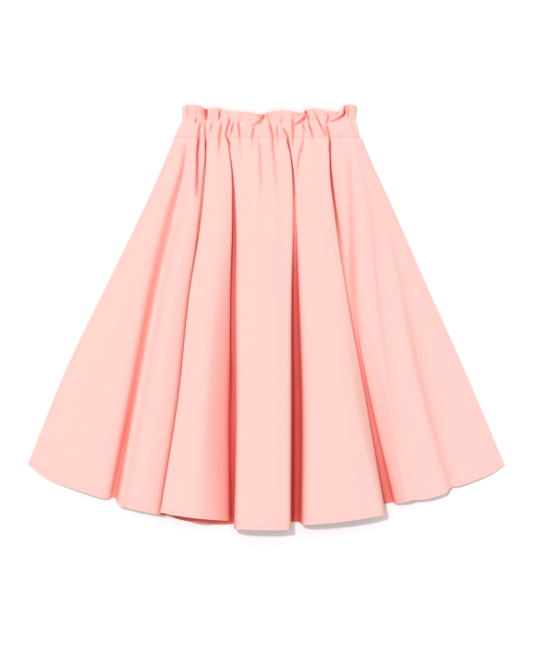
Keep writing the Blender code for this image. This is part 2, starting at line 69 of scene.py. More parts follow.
# A deep fold, where one tongue of cloth stands over an open valley. lip is the x of the edge that shows, gap
# is the open width to its right, side is 1 where the left edge overhangs it and -1 where the right one does,
# and floor is the z of its bottom. left_lean and right_lean say how far the cloth on each side leans down
# towards it, from 0 for a plain shoulder to 1 for a long slope, and the reaches say how far the shoulders
# spread. steps is how finely each span between two section points is divided.
DeepFold = namedtuple(
    "DeepFold", "lip gap side floor left_lean right_lean left_reach right_reach hem_radius steps"
)
DEEP_STEPS = (3, 6, 6, 4, 4, 6, 6, 3)
DEEP_FOLDS = {
    "left_valley": DeepFold(
        lip=(-73, -65, -63, -66, -67, -63),
        gap=(3, 3, 6, 9, 12, 3),
        side=(0, 0.7, 1, 0.8, -0.1, -1),
        floor=(4.5, 9, 10, 7, 0, -1),
        left_lean=(0, 0, 0.1, 0.7, 0.9, 0.8),
        right_lean=(0, 0, 0, 0, 0, 0),
        left_reach=(2.5, 5, 10, 14, 23, 30),
        right_reach=(2.5, 5, 9, 12, 8, 5),
        hem_radius=1100,
        steps=DEEP_STEPS,
    ),
    "middle_valley": DeepFold(
        lip=(39, 47, 49, 47, 47, 46),
        gap=(3, 3, 5, 11.5, 17.5, 17),
        side=(0, 0.7, 1, 1, 1, 1),
        floor=(4.5, 8, 17, 9, 1, -1),
        left_lean=(0, 0, 0, 0, 0, 0),
        right_lean=(0, 0, 0, 0, 0, 0),
        left_reach=(2.5, 5, 8, 9, 9, 9),
        right_reach=(2.5, 5, 9, 13, 17, 17),
        hem_radius=1099,
        steps=DEEP_STEPS,
    ),
    "right_overlap": DeepFold(
        lip=(117, 117, 126, 146, 183, 221),
        gap=(3, 3, 3, 7, 8.5, 15),
        side=(0, 0.7, 1, 0.6, 0.1, 1),
        floor=(4.5, 4, 9, 19, 8, -1),
        left_lean=(0, 0, 0, 0.4, 0.7, 0.1),
        right_lean=(0, 0, 0, 0.4, 0.8, 0.4),
        left_reach=(2.5, 5, 8, 8, 10, 9),
        right_reach=(2.5, 5, 8, 11, 18, 13),
        hem_radius=1085.5,
        steps=DEEP_STEPS,
    ),
}

# The points of a deep fold's section on each side of its valley, from the shoulder down. reach is how far
# the point lies outside the lip, as a share of that side's reach, tuck is 1 where it moves back under an
# overhanging lip, height is a share of the tongue's height above the valley's floor, and lean_height is that
# share where the tongue leans towards the valley.
LipPoint = namedtuple("LipPoint", "reach tuck height lean_height")
LIP_SECTION = (
    LipPoint(1.00, 0, 0.98, 0.93),
    LipPoint(0.40, 0, 0.92, 0.38),
    LipPoint(-0.15, 0, 0.64, 0.22),
    LipPoint(0.00, 1, 0.18, 0.04),
)

# Under an overhanging lip the wall goes back by a share of its drop. The side across from it stands back by
# a share of its reach, and its foot comes forward by a share of the reach on the left and of the gap on the
# right. A leaning slope reaches further by a share, and the floor is lowest at a share of the gap.
UNDERCUT = 0.26
LIP_SETBACK = 0.2
LEFT_FOOT = 0.1
RIGHT_FOOT = 0.1
LEAN_REACH = 0.65
FLOOR_SHARE = 0.5

# A tight overlap, where the cloth on the right lies on the cloth on the left. over says how much of the
# overlap there is at each station, from a plain groove at 0, and reach is how far it spreads each way.
Overlap = namedtuple("Overlap", "lip over reach floor hem_radius steps")
OVERLAPS = {
    "left_overlap": Overlap(
        lip=(-112, -113, -118.5, -140, -162.7, -195.5),
        over=(0, 0.6, 1, 1, 1, 1),
        reach=(5, 8, 8, 14, 22, 26),
        floor=(4.5, 3.5, 3, 3, 3, 3),
        hem_radius=1100,
        steps=(2, 3, 5, 5, 4, 5, 5, 4, 3),
    )
}

# The points of an overlap's section, from left to right, first as a plain groove and then fully overlapped.
# x is a share of the reach, and left and right are shares of the heights of the cloth on the two sides.
OverlapPoint = namedtuple("OverlapPoint", "groove_x groove_left groove_right x left right")
OVERLAP_SECTION = [OverlapPoint(*row) for row in (
    (-1.00, 1.00, 0.00, -1.00, 1.00, 0.00), (-0.60, 0.90, 0.00, -0.35, 0.97, 0.00),
    (-0.40, 0.60, 0.00, 0.22, 0.80, 0.00), (-0.20, 0.25, 0.00, 0.50, 0.35, 0.00),
    (0.00, 0.00, 0.00, 0.62, 0.00, 0.00), (0.15, 0.00, 0.15, 0.70, 0.45, 0.08),
    (0.30, 0.00, 0.40, 0.30, 1.00, 0.10), (0.45, 0.00, 0.65, -0.10, 0.75, 0.30),
    (0.65, 0.00, 0.90, 0.22, 0.25, 0.72), (1.00, 0.00, 1.00, 1.00, 0.00, 0.98),
)]

# A soft groove, where the cloth only dips: the x of its line, how far it spreads to the left and the right,
# and its depth below the mean of the two tongues beside it
SoftFold = namedtuple("SoftFold", "line left right depth hem_radius steps")
SOFT_FOLDS = {
    "left_groove": SoftFold(
        (-148, -154, -174.5, -206, -243.5, -280), 14, 6.5, (1, 4.5, 7.5, 10, 12.5, 18), 1092, (3, 4, 4, 3)
    ),
    "left_crease": SoftFold(
        (-140, -140, -152, -182, -218, -257), 8, 6, (0, 0, 0.5, 1.1, 1.4, 1.2), 1104, (2, 2, 2, 2)
    ),
    "right_groove": SoftFold(
        (158, 174, 193, 205, 235, 275), 8, 8, (0, 0, 0.2, 0.3, 0.5, 0.2), 1092, (2, 2, 2, 2)
    ),
    "flare_groove": SoftFold(
        (170, 189, 220, 251, 290, 343), 10, 8, (0, 0, 0.6, 2.4, 4.2, 4.4), 1087, (3, 3, 3, 3)
    ),
}

# Where each side of a groove has its points, from the rim (0) towards the line (1), how narrow the groove is
# at the waist seam, and the share of the way down from which it has its full width
SOFT_SECTION = (0.0, 0.5)
WAIST_WIDTH = 0.4
FULL_WIDTH_SHARE = 0.3

# A spline passes inside its points, so a depth is taken this much further
SPLINE_LOSS = 1.2

# A tongue of cloth between two folds: its height at each station, how many section points cross it, and how
# finely each span between them is divided
Tongue = namedtuple("Tongue", "crown hem_radius points steps")
TONGUES = {
    "left_flare": Tongue((7, 9, 11, 13, 14, 13), 1099, 4, 5),
    "left_ridge": Tongue((7, 11, 14, 16, 17, 17), 1104, 1, 4),
    "left_strip": Tongue((7, 11, 14, 16, 17, 16), 1104, 1, 9),
    "left_tongue": Tongue((7, 14, 21, 27, 31, 30), 1099, 3, 6),
    "middle_tongue": Tongue((7, 15, 24, 32, 39, 41), 1112, 4, 12),
    "right_tongue": Tongue((7, 14, 21, 28, 34, 35), 1105, 4, 8),
    "right_ridge": Tongue((7, 9, 13, 18, 22, 19.5), 1090, 1, 6),
    "right_panel": Tongue((7, 6.5, 7.5, 13, 18, 17), 1095, 3, 4),
    "right_flare": Tongue((4, 3, 3.2, 6.5, 9, 9), 1090, 3, 5),
}

# How much higher a tongue stands in its middle, and how soon a flare at a side rises to its height
CROWN_BULGE = 0.1
FLARE_RISE = 1.25

# The front's folds and tongues in order, from the left side seam to the right one
FRONT_ORDER = (
    "left_flare", "left_groove", "left_ridge", "left_crease", "left_strip", "left_overlap", "left_tongue",
    "left_valley", "middle_tongue", "middle_valley", "right_tongue", "right_overlap", "right_ridge",
    "right_groove", "right_panel", "flare_groove", "right_flare",
)

# A fold of the back panel, which rises under one of the front's tongues. width is from its middle to where
# the cloth lies flat again.
BackFold = namedtuple("BackFold", "line width height hem_radius")
BACK_FOLDS = [BackFold(*row) for row in (
    ((-140, -158, -190, -240, -300, -355), (12, 16, 22, 26, 30, 34), (0, 0.5, 2, 4, 5, 5), 1090),
    ((-92, -90, -94, -104, -114, -120), (12, 16, 20, 26, 34, 46), (0, 3, 8, 13, 16, 15), 1107),
    ((-14, -9, -8, -8, -8, -8), (14, 18, 24, 30, 36, 36), (0, 4, 10, 16, 21, 23), 1100),
    ((78, 82, 90, 100, 120, 146), (12, 16, 20, 28, 34, 38), (0, 3, 8, 13, 17, 18), 1088),
    ((146, 162, 190, 232, 280, 318), (12, 16, 20, 24, 28, 32), (0, 0.5, 3, 5, 7, 7), 1084),
)]

# The points of a back fold's section, as shares of its width and height
BackPoint = namedtuple("BackPoint", "x height")
BACK_SECTION = [BackPoint(*row) for row in (
    (-1.00, 0.00), (-0.65, 0.00), (-0.40, 0.45), (0.00, 1.25),
    (0.40, 0.45), (0.65, 0.00), (1.00, 0.00),
)]
BACK_STEPS = 7

# Where the back panel's hem shows below the front's, in the front's shade, that shade is painted into its
# colour, on both sides of its cloth: its ends in x, how far up from the hem the painted shade reaches, how
# soft its edges are and how much it darkens the colour
PEEK = (-172, -56)
PEEK_LENGTH = 12.0
PEEK_FADE = 3.0
PAINTED_PEEK_SHADE = 0.75

# A crease that the gathers press into the cloth: the x of its line, its y and its depth at a few points
# from top to bottom, and its half-width at the top and at the bottom. It runs over the frill, the casing
# and the panel alike, so it goes on across the seams.
Crease = namedtuple("Crease", "x y depth width")
CREASES = [Crease(*row) for row in (
    ((-145.5, -145.8, -146), (390, 376, 365), (0.8, 1.4, 0), (1.6, 1.4)),
    ((-129, -129.5, -131.5), (369, 364, 355), (0.6, 2.2, 0), (1.3, 1.3)),
    ((-121.5, -122.5, -124.5, -124.6, -127, -127.5, -128, -127),
     (361, 356, 343, 336, 305, 272, 235, 212), (0, 2.0, 3.6, 5.8, 5.6, 5.0, 4.0, 0), (1.4, 3.2)),
    ((-117.5, -119.5, -121), (363, 357, 350), (0.4, 1.4, 0), (1.1, 1.1)),
    ((-112.4, -113.2, -112.8, -111.4, -112.2), (368, 350, 333, 318, 305),
     (0.8, 1.6, 3.2, 3.6, 0), (1.3, 1.5)),
    ((-98, -102, -105), (368, 352, 335), (0, 1.6, 0), (1.4, 1.7)),
    ((-85.5, -86.5, -89), (386, 374, 359), (0.8, 2.6, 0), (1.5, 1.3)),
    ((-80.5, -84, -86.2, -87, -89), (367, 350, 336, 320, 285), (0, 2.6, 3.6, 2.8, 0), (1.4, 2.2)),
    ((-70.5, -68.5, -72, -73.8, -69, -66), (370, 364, 350, 334, 324, 306),
     (0.8, 2.4, 3.0, 4.2, 4.2, 0), (1.4, 1.5)),
    ((-59.5, -63, -67), (366, 350, 331), (0, 2.4, 0), (1.4, 1.6)),
    ((-47, -51, -50.5, -48, -47.5), (367, 361, 350, 325, 280), (0.4, 1.6, 2.2, 1.4, 0), (1.3, 2.6)),
    ((-22, -24.2, -25.8, -27), (357, 345, 330, 305), (0, 2.6, 2.0, 0), (1.4, 1.9)),
    ((-11.5, -13.5), (361, 343), (0.8, 0), (1.2, 1.4)),
    ((-13.6, -12, -11, -9.5, -8), (336, 312, 290, 255, 205), (0.4, 2.2, 2.4, 2.0, 0), (1.8, 3.2)),
    ((3.5, 8.5, 11.4, 12.3, 15.2, 19, 24), (368, 350, 336, 314, 287, 250, 205),
     (0.8, 2.6, 3.4, 3.0, 2.4, 1.6, 0), (1.5, 3.4)),
    ((18.5, 20, 21, 21.5), (366, 345, 325, 300), (0, 1.8, 1.4, 0), (1.3, 2.0)),
    ((30.5, 28, 25.5), (371, 363, 353), (0.4, 1.6, 0), (1.3, 1.3)),
    ((27, 33, 39.2, 40.2, 44), (356, 346, 335, 322, 305), (0, 2.2, 4.0, 4.4, 0), (1.4, 1.6)),
    ((50, 49.2, 49.4, 49.6, 47), (371, 361, 346, 328, 305), (0.6, 2.6, 3.2, 2.4, 0), (1.4, 2.0)),
    ((68.8, 66.5, 61.5, 57.5, 55), (334, 320, 299, 272, 235), (1.0, 2.8, 2.8, 2.0, 0), (1.6, 2.6)),
    ((77, 81, 85, 87), (365, 351, 338, 318), (0.6, 2.6, 1.8, 0), (1.3, 1.8)),
    ((65.5, 70, 73), (362, 350, 338), (0, 1.2, 0), (1.2, 1.4)),
    ((88, 93.5, 99.5, 105.5, 111), (383, 370, 357, 342, 322), (0.6, 1.8, 2.2, 1.6, 0), (1.4, 1.6)),
    ((106.5, 109.5, 113), (353, 342, 330), (0, 2.2, 0), (1.3, 1.4)),
    ((108, 114, 113.5, 110), (379, 373, 365, 358), (0.6, 2.0, 2.2, 0.4), (1.3, 1.2)),
    ((110, 113, 116.2, 117.6, 116.8, 117), (361, 350, 337, 324, 314, 296),
     (0, 2.4, 3.8, 3.6, 3.2, 0), (1.4, 1.7)),
    ((139, 137, 139), (346, 331, 300), (0, 0.8, 0), (1.6, 2.4)),
    ((151.2, 151.4, 152.5), (394, 376, 364), (1.2, 1.8, 0), (1.6, 1.3)),
    ((154, 159, 162.5, 167, 169), (366, 352, 344, 331, 303), (0.2, 0.9, 0.9, 0.5, 0), (1.4, 2.2)),
    ((-2.5, -6, -11.5, -19, -31), (381, 371, 362.5, 357.5, 351), (2.0, 6.0, 5.6, 3.6, 0), (2.4, 1.4)),
    ((73, 70.5, 64, 54.5, 48), (372, 368.5, 362.5, 356, 352), (2.0, 5.0, 5.2, 2.8, 0), (1.9, 1.3)),
    ((70, 74, 78, 80), (386, 376, 369, 359), (0.8, 2.2, 2.2, 0), (1.4, 1.2)),
    ((145.5, 141, 131, 119, 110), (386, 372, 366, 361.5, 359), (3.0, 5.6, 4.6, 2.6, 0), (2.0, 1.3)),
    ((-110.6, -111.2, -112.4), (387, 374, 364), (6.0, 7.0, 4.0), (1.9, 1.7)),
)]

# The power of a crease's bell, what all the creases' widths and depths are multiplied by, and the step in y
# over which the lean of a crease's line is measured
CREASE_FLATNESS = 1.6
CREASE_WIDER = 1.15
CREASE_DEEPER = 1.15
LEAN_STEP = 0.5

# How much painted shade a deep crease puts into the colour of the panels and of the strip, the depth at which
# it puts two thirds of that, the share of the cloth's own slope in its openness, and the openness inside the
# waist, a fixed painted shade there
PANEL_CREASE_SHADE = 0.25
STRIP_CREASE_SHADE = 0.6
CREASE_SHADE_DEPTH = 2.5
SLOPE_IN_SHADE = 0.5
INNER_PAINTED_SHADE_OPENNESS = 0.5

# The long soft folds that only the front panel has, as creases are given. The first PAINTED_SHADE_FOLDS of
# them are pinched, so painted shade darkens them too.
PAINTED_SHADE_FOLDS = 2
LONG_FOLDS = [Crease(*row) for row in (
    ((-64.5, -64.5, -62.5, -60), (-60, -150, -260, -400), (0, 4, 8, 8), (4, 3.5)),
    ((-113, -117.6, -123.2, -129.6, -139), (300, 240, 180, 120, 60),
     (0, 2.4, 3.2, 1.6, 0), (1.1, 1.2)),
    ((152, 154, 156.8, 158.6, 159.8, 164, 176), (312, 285, 217, 143, 70, 10, -70),
     (0, 2.6, 4.6, 5.4, 6.0, 4.0, 0), (3.4, 6.5)),
    ((198, 203, 207, 220, 240), (165, 95, 55, -40, -150), (0, 1.2, 1.4, 1.2, 0), (2.6, 4.5)),
    ((-46, -50, -54), (336, 318, 285), (0, 1.2, 0), (1.8, 2.6)),
)]

# A soft wave of the cloth along a straight line down the panel: its two ends, its half-width at each end,
# and how high it stands (a trough where that is below 0). It dies out over a share of it at each end.
Wave = namedtuple("Wave", "top bottom width height")
FRONT_WAVES = [Wave(*row) for row in (
    ((-212, 150), (-330, -230), (5, 9), -1.0), ((-196, 190), (-296, -120), (5, 8), 0.7),
    ((-250, 20), (-392, -310), (8, 16), -0.9), ((-190, 120), (-236, -60), (4, 6), 0.6),
    ((-176, 60), (-232, -300), (4, 7), -0.5), ((-96, 290), (-122, 40), (4, 9), 0.5),
    ((-112, 110), (-156, -340), (8, 14), 0.9), ((-48, 290), (-44, 60), (4, 8), 0.6),
    ((-30, 280), (-26, 40), (4, 9), -0.7), ((-8, 250), (-4, -120), (5, 10), -0.6),
    ((12, 270), (16, -60), (4, 9), 0.7), ((30, 250), (30, 40), (4, 8), -0.6),
    ((-30, 20), (-32, -360), (8, 12), 0.7), ((8, 20), (6, -370), (7, 12), -0.8),
    ((60, 240), (72, -60), (4, 9), 0.6), ((76, 290), (92, 40), (4, 9), -0.6),
    ((96, 260), (118, -40), (4, 8), 0.6), ((100, 60), (134, -360), (8, 14), -0.9),
    ((120, -20), (176, -370), (8, 14), 0.8), ((170, 230), (214, 40), (4, 7), 0.7),
    ((200, 120), (262, -160), (5, 8), -0.6), ((216, 60), (284, -200), (5, 8), 0.6),
    ((240, 60), (350, -240), (6, 12), -0.8), ((262, 30), (386, -290), (7, 14), 0.7),
)]
BACK_WAVES = [Wave(*row) for row in (
    ((-150, 320), (-262, -60), (4, 10), 0.9), ((-128, 326), (-150, 60), (3, 8), 0.8),
    ((-60, 326), (-52, 90), (3, 8), 0.9), ((-34, 326), (-40, 180), (3, 6), 0.7),
    ((22, 326), (30, 120), (3, 8), 0.8), ((48, 326), (46, 10), (3, 9), 0.9),
    ((112, 326), (140, 100), (3, 8), 0.8), ((128, 320), (196, 20), (4, 9), 0.7),
    ((-170, 40), (-250, -330), (8, 14), 0.8), ((60, 40), (80, -370), (8, 14), 0.8),
    ((204, 60), (262, -330), (8, 14), 0.7), ((-60, 0), (-66, -370), (8, 14), 0.7),
)]
WAVE_FADE = 0.3

# The casing and the frill are one strip, sewn as a tube. Each row of the front's table is a point of its
# section at the upper stitch line (base) and at the frill's edge (top), and rows that step back in x are
# lobes that overlap.
FrillPoint = namedtuple("FrillPoint", "base_x top_x top_y base_z top_z")
FRILL_FRONT = [FrillPoint(*row) for row in (
    (-152, -154, 390, 5.5, 6), (-143, -143, 392, 7, 11), (-135, -133, 392, 6.5, 13),
    (-127, -124, 391, 7, 11), (-119, -115, 386, 5.5, 5), (-115, -110, 384, 5, 3.5),
    (-112, -111, 384, 6, 9), (-108, -104, 386, 7, 13), (-98, -94, 387, 7, 11),
    (-88, -84, 385, 6, 6), (-78, -72, 382, 7, 9), (-67, -60, 380, 6.5, 10),
    (-55, -46, 380, 7, 9), (-43, -32, 379, 7, 8), (-32, -18, 376, 6.5, 6),
    (-22, -2, 375, 5.5, 3.5), (-18, 5, 375, 5.5, 4), (-14, -4, 376, 6.5, 11),
    (-8, 5, 380, 7.5, 13), (6, 20, 382, 7, 11), (21, 34, 382, 7, 9),
    (34, 48, 381, 7, 8), (44, 60, 378, 6, 4.5), (50, 74, 377, 5.5, 4),
    (55, 67, 380, 6.5, 11), (63, 77, 385, 7.5, 13), (76, 90, 386, 7, 11),
    (92, 104, 383, 7, 9), (104, 117, 381, 7, 8), (112, 132, 380, 6, 4.5),
    (118, 147, 380, 5.5, 4), (123, 140, 388, 6.5, 11), (134, 148, 393, 7.5, 13),
    (147, 158, 393, 7, 11), (160, 167, 390, 5.5, 6),
)]

# How far along the upper stitch line, and along the waist seam, the casing's gathers cross them
GATHER_AT_STITCH = (
    -157, -152, -131, -116, -98, -82, -69, -50, -22, 3, 18, 30, 50, 60, 77, 96, 110, 134, 158, 168,
)
GATHER_AT_SEAM = (
    -174, -168, -125, -112, -103, -88, -73, -47, -27, 10, 21, 39, 50, 67, 86, 106, 117, 137, 165, 176,
)

# The strip's back half: its ends, its number of waves, the y of the frill's edge along it and at the sides,
# how high the waves stand, and the share of the width over which it rises at a side
FRILL_SIDE = (-157.0, 168.0)
FRILL_BACK_WAVES = 9
BACK_COLUMNS = 2 * FRILL_BACK_WAVES + 1
FRILL_BACK_TOP = 374.0
FRILL_BACK_SIDE_TOP = 388.0
FRILL_BACK_WAVE = 1.6
FRILL_SIDE_SHARE = 0.08

# The share of the frill's height in which it swells to its lobes, and the steps between the section points
FRILL_SWELL_SHARE = 0.8
STRIP_FRONT_STEPS = 15
STRIP_BACK_STEPS = 10

# The z of the casing's middle surface at the seam in front and behind, how far it puffs out between its
# stitch lines, its wall, the share of its height over which that grows at each end, and the frill's wall
CASING_MIDDLE = 5.6
CASING_BACK_MIDDLE = 1.5
CASING_PUFF = 0.7
CASING_WALL = 2.4
WALL_GROWTH = 0.25
STRIP_WALL = 1.1

# The front's inner side stays above PARTING_Z, and the back's stays PARTING_GAP below it. However deep the
# creases are, the front keeps its wall above that, and the back keeps room below it for its stitches.
PARTING_Z = 3.1
PARTING_GAP = 0.3
CREASE_FLOOR = 0.1
STITCH_ROOM = 0.45

# How far the stitch lines and the waist seam press the cloth in, and over what width. All this and the
# gathers are shallower behind, by a share.
STITCH_DIP = 0.6
LOWER_STITCH_Y = 334.5
LOWER_STITCH_DIP = 0.15
DIP_WIDTH = 1.5
SEAM_TUCK = 0.15
TUCK_WIDTH = 1.5
BACK_CREASE_SHARE = 0.35

# The front panel's z at the waist seam, and how far down it takes on its own form
SEAM_Z = 6.2
SEAM_BLEND = 16.0


def along(values, share, stations=STATIONS):
    """A table's values at its stations, read at any share: the cubic through the values whose slope at each
    station is the mean slope there."""
    values = np.asarray(values, float)
    stations = np.asarray(stations, float)
    slopes = np.gradient(values, stations)
    span = np.clip(np.searchsorted(stations, share, side="right") - 1, 0, len(stations) - 2)
    width = stations[span + 1] - stations[span]
    q = (share - stations[span]) / width
    return (
        values[span] * (1 + 2 * q) * (1 - q) ** 2
        + slopes[span] * width * q * (1 - q) ** 2
        + values[span + 1] * q * q * (3 - 2 * q)
        + slopes[span + 1] * width * q * q * (q - 1)
    )


def smooth_step(q):
    """0 below q = 0, 1 above q = 1, and three q squared less two q cubed between."""
    q = np.clip(q, 0, 1)
    return q * q * (3 - 2 * q)


def bspline_weights(q):
    """The four weights of a uniform cubic B-spline at q of the way along a span."""
    return (
        (1 - q) ** 3 / 6,
        (3 * q**3 - 6 * q**2 + 4) / 6,
        (-3 * q**3 + 3 * q**2 + 3 * q + 1) / 6,
        q**3 / 6,
    )


def spline(points, places):
    """A cubic B-spline over points (first axis) that starts and ends on the end points, read at places: the
    weighted sum of the four points about each place."""
    ends = (2 * points[:1] - points[1:2], points, 2 * points[-1:] - points[-2:-1])
    padded = np.concatenate(ends)
    span = np.clip(np.floor(places).astype(int), 0, len(points) - 2)
    q = (places - span).reshape((-1,) + (1,) * (points.ndim - 1))
    return sum(weight * padded[span + i] for i, weight in enumerate(bspline_weights(q)))


def closed_spline(points, places):
    """The same B-spline over a closed ring of points."""
    span = np.floor(places).astype(int)
    q = (places - span).reshape((-1,) + (1,) * (points.ndim - 1))
    return sum(weight * points[(span + i - 1) % len(points)] for i, weight in enumerate(bspline_weights(q)))


def places_of(steps):
    """The places along a spline that divide each of its spans into its own number of steps."""
    inner = [i + k / count for i, count in enumerate(steps) for k in range(count)]
    return np.array(inner + [len(steps)])


def hem_y(x, radius):
    """The hem's y at x, on an arc of that radius about the apex: the apex's y less the root of the radius
    squared less the distance from the apex's x squared."""
    return APEX[1] - np.sqrt(radius**2 - (x - APEX[0]) ** 2)


def crease_depth(x, y, creases=CREASES):
    """How far creases press the cloth down at points seen from above: for each crease, its depth at that
    y times a bell of the distance from its line, measured square to the line."""
    total = np.zeros_like(x)
    for crease in creases:
        ys = np.array(crease.y[::-1], float)
        at = np.clip(y, ys[0], ys[-1])
        line = along(crease.x[::-1], at, ys)
        lean = along(crease.x[::-1], np.clip(y + LEAN_STEP, ys[0], ys[-1]), ys) - line
        depth = np.maximum(along(crease.depth[::-1], at, ys), 0) * (y >= ys[0])
        width = crease.width[1] + (crease.width[0] - crease.width[1]) * (at - ys[0]) / (ys[-1] - ys[0])
        away = np.abs(x - line) / np.sqrt(1 + (lean / LEAN_STEP) ** 2)
        total += CREASE_DEEPER * depth * np.exp(-((away / (CREASE_WIDER * width)) ** CREASE_FLATNESS))
    return total


def wave_height(x, y, waves):
    """The soft waves' height at points seen from above: for each wave, its height times a bell of the
    distance from its line, faded out towards both ends of the line."""
    total = np.zeros_like(x)
    for wave in waves:
        q = (wave.top[1] - y) / (wave.top[1] - wave.bottom[1])
        line = wave.top[0] + (wave.bottom[0] - wave.top[0]) * q
        width = wave.width[0] + (wave.width[1] - wave.width[0]) * np.clip(q, 0, 1)
        fade = smooth_step(q / WAVE_FADE) * smooth_step((1 - q) / WAVE_FADE)
        total += wave.height * fade * np.exp(-(((x - line) / width) ** 2))
    return total


def deep_fold_points(fold, left_crown, right_crown, share):
    """The section points of a deep fold, from its left shoulder to its right one, as (x, z) rows. Each x is
    its side's lip, moved out by a share of the reach or under the lip by the tuck, and each z lies above
    the floor by a share of the drop."""
    lip, gap, side, floor = (along(v, share) for v in (fold.lip, fold.gap, fold.side, fold.floor))
    left_reach, right_reach = along(fold.left_reach, share), along(fold.right_reach, share)
    left_drop, right_drop = left_crown - floor, right_crown - floor
    left_over, right_over = np.clip(side, 0, 1), np.clip(-side, 0, 1)
    left_lip = lip - LIP_SETBACK * left_reach * right_over
    right_lip = lip + gap + LIP_SETBACK * right_reach * left_over
    left_tuck = UNDERCUT * left_drop * left_over - LEFT_FOOT * left_reach * right_over
    right_tuck = UNDERCUT * right_drop * right_over - RIGHT_FOOT * gap * left_over
    left, right = [], []
    sides = (
        (left, left_lip, along(fold.left_lean, share), -left_reach, -left_tuck, left_drop),
        (right, right_lip, along(fold.right_lean, share), right_reach, right_tuck, right_drop),
    )
    for points, edge, lean, reach, tuck, drop in sides:
        for p in LIP_SECTION:
            away = p.reach + LEAN_REACH * lean * max(p.reach, 0)
            height = p.height + lean * (p.lean_height - p.height)
            points.append((edge + away * reach + p.tuck * tuck, floor + height * drop))
    bottom = (lip + FLOOR_SHARE * gap, floor)
    return left + [bottom] + right[::-1]


def overlap_points(fold, left_crown, right_crown, share):
    """The section points of a tight overlap, as (x, z) rows: each point is a blend, by how much of the
    overlap there is, of its place in a plain groove and its place fully overlapped."""
    lip, over, reach, floor = (along(v, share) for v in (fold.lip, fold.over, fold.reach, fold.floor))
    left_drop, right_drop = left_crown - floor, right_crown - floor
    over = np.clip(over, 0, 1)
    points = []
    for p in OVERLAP_SECTION:
        x = p.groove_x + (p.x - p.groove_x) * over
        left = p.groove_left + (p.left - p.groove_left) * over
        right = p.groove_right + (p.right - p.groove_right) * over
        points.append((lip + x * reach, floor + left * left_drop + right * right_drop))
    return points


def soft_fold_points(fold, left_crown, right_crown, share):
    """The section points of a soft groove, as (x, z) rows: two straight sides, from rims at the crowns'
    heights to a line below their mean. It is narrower near the waist."""
    line, depth = along(fold.line, share), along(fold.depth, share)
    width = WAIST_WIDTH + (1 - WAIST_WIDTH) * smooth_step(share / FULL_WIDTH_SHARE)
    low = 0.5 * (left_crown + right_crown) - SPLINE_LOSS * depth
    sides = [
        [(line + spread * width * (1 - q), crown + (low - crown) * q) for q in SOFT_SECTION]
        for spread, crown in ((-fold.left, left_crown), (fold.right, right_crown))
    ]
    return sides[0] + [(line, low)] + sides[1][::-1]


def fold_points(name, left_crown, right_crown, share):
    """The fold of that name: its section points, the steps between them, and its radius at the hem."""
    kinds = ((DEEP_FOLDS, deep_fold_points), (OVERLAPS, overlap_points), (SOFT_FOLDS, soft_fold_points))
    for folds, section in kinds:
        if name in folds:
            fold = folds[name]
            return section(fold, left_crown, right_crown, share), fold.steps, fold.hem_radius
    raise KeyError(name)


def tongue_points(tongue, crown, start, stop, edge_side, edge_z):
    """The section points across a tongue, as (x, z) rows: half a sine wave above its crown's height, or at a
    side of the skirt a quarter of one that comes down to the side seam (edge_side -1 left, 1 right)."""
    rows = []
    for k in range(tongue.points):
        place = (k + 1) / (tongue.points + 1)
        height = crown * (1 + CROWN_BULGE * np.sin(np.pi * place))
        if edge_side:
            inward = place if edge_side < 0 else 1 - place
            height = edge_z + (crown - edge_z) * np.sin(0.5 * np.pi * min(1.0, FLARE_RISE * inward))
        rows.append((start + (stop - start) * place, height))
    return rows


def hung_from_seam(rows, share):
    """Section points as an array of points by rows by (x, y, z). Each one's y runs evenly from the waist
    seam to the hem."""
    points = [np.stack([x, SEAM_Y + (hem_y(x[-1], radius) - SEAM_Y) * share, z], 1) for x, z, radius in rows]
    return np.stack(points)


def front_controls(share, edge_z):
    """The front's section points at each row, and the steps between them."""
    crowns = {name: along(tongue.crown, share) for name, tongue in TONGUES.items()}
    last = len(FRONT_ORDER) - 1
    folds = {
        i: fold_points(FRONT_ORDER[i], crowns[FRONT_ORDER[i - 1]], crowns[FRONT_ORDER[i + 1]], share)
        for i in range(1, last, 2)
    }
    rows, steps = [(along(SIDES[0], share), edge_z, SIDE_HEM_RADIUS[0])], []
    for i, name in enumerate(FRONT_ORDER):
        if i in folds:
            points, fold_steps, radius = folds[i]
            radii = TONGUES[FRONT_ORDER[i - 1]].hem_radius, TONGUES[FRONT_ORDER[i + 1]].hem_radius
            bottom = min(range(len(points)), key=lambda k: points[k][1][-1])
            for k, (x, z) in enumerate(points):
                rows.append((x, z, radius if abs(k - bottom) <= 1 else radii[k > bottom]))
            steps.extend(fold_steps)
        else:
            tongue = TONGUES[name]
            edge_side = {0: -1, last: 1}.get(i, 0)
            stop = along(SIDES[1], share) if i == last else folds[i + 1][0][0][0]
            for x, z in tongue_points(tongue, crowns[name], rows[-1][0], stop, edge_side, edge_z):
                rows.append((x, z, tongue.hem_radius))
            steps.extend([tongue.steps] * (tongue.points + 1))
    rows.append((along(SIDES[1], share), edge_z, SIDE_HEM_RADIUS[1]))
    return hung_from_seam(rows, share), steps


# The panels' rows lie close together under the gathers and wider apart below, and closer again at the hem,
# where they are given by their distances from its edge
PANEL_ROWS = 104
ROW_GROWTH = 0.62
PANEL_LENGTH = 724.0
HEM_ROWS = (22, 16, 12, 9.5, 8.2, 7.4, 6.6, 5.8, 4.5, 2.8, 1.2, 0)
LAST_ROW_GAP = 6.0

# The turned hem: its height and that of its stitch line, how much thicker the wall is there, over what
# length it thickens, and how far and how widely the stitches press it in
HEM_TURN = 7.8
HEM_STITCH = 6.6
HEM_THICKER = 0.7
HEM_STEP = 0.8
HEM_DIP = 0.45
HEM_DIP_WIDTH = 1.0

# The front's middle surface lies at least this many walls up, on the back panel. Its waves and its hem's
# stitches fade in between these heights, and the back's waves between these distances from the side seams.
LOWEST_WALLS = 1.5
CLEAR_HEIGHTS = (4.0, 10.0)
EDGE_DISTANCES = (2.0, 10.0)


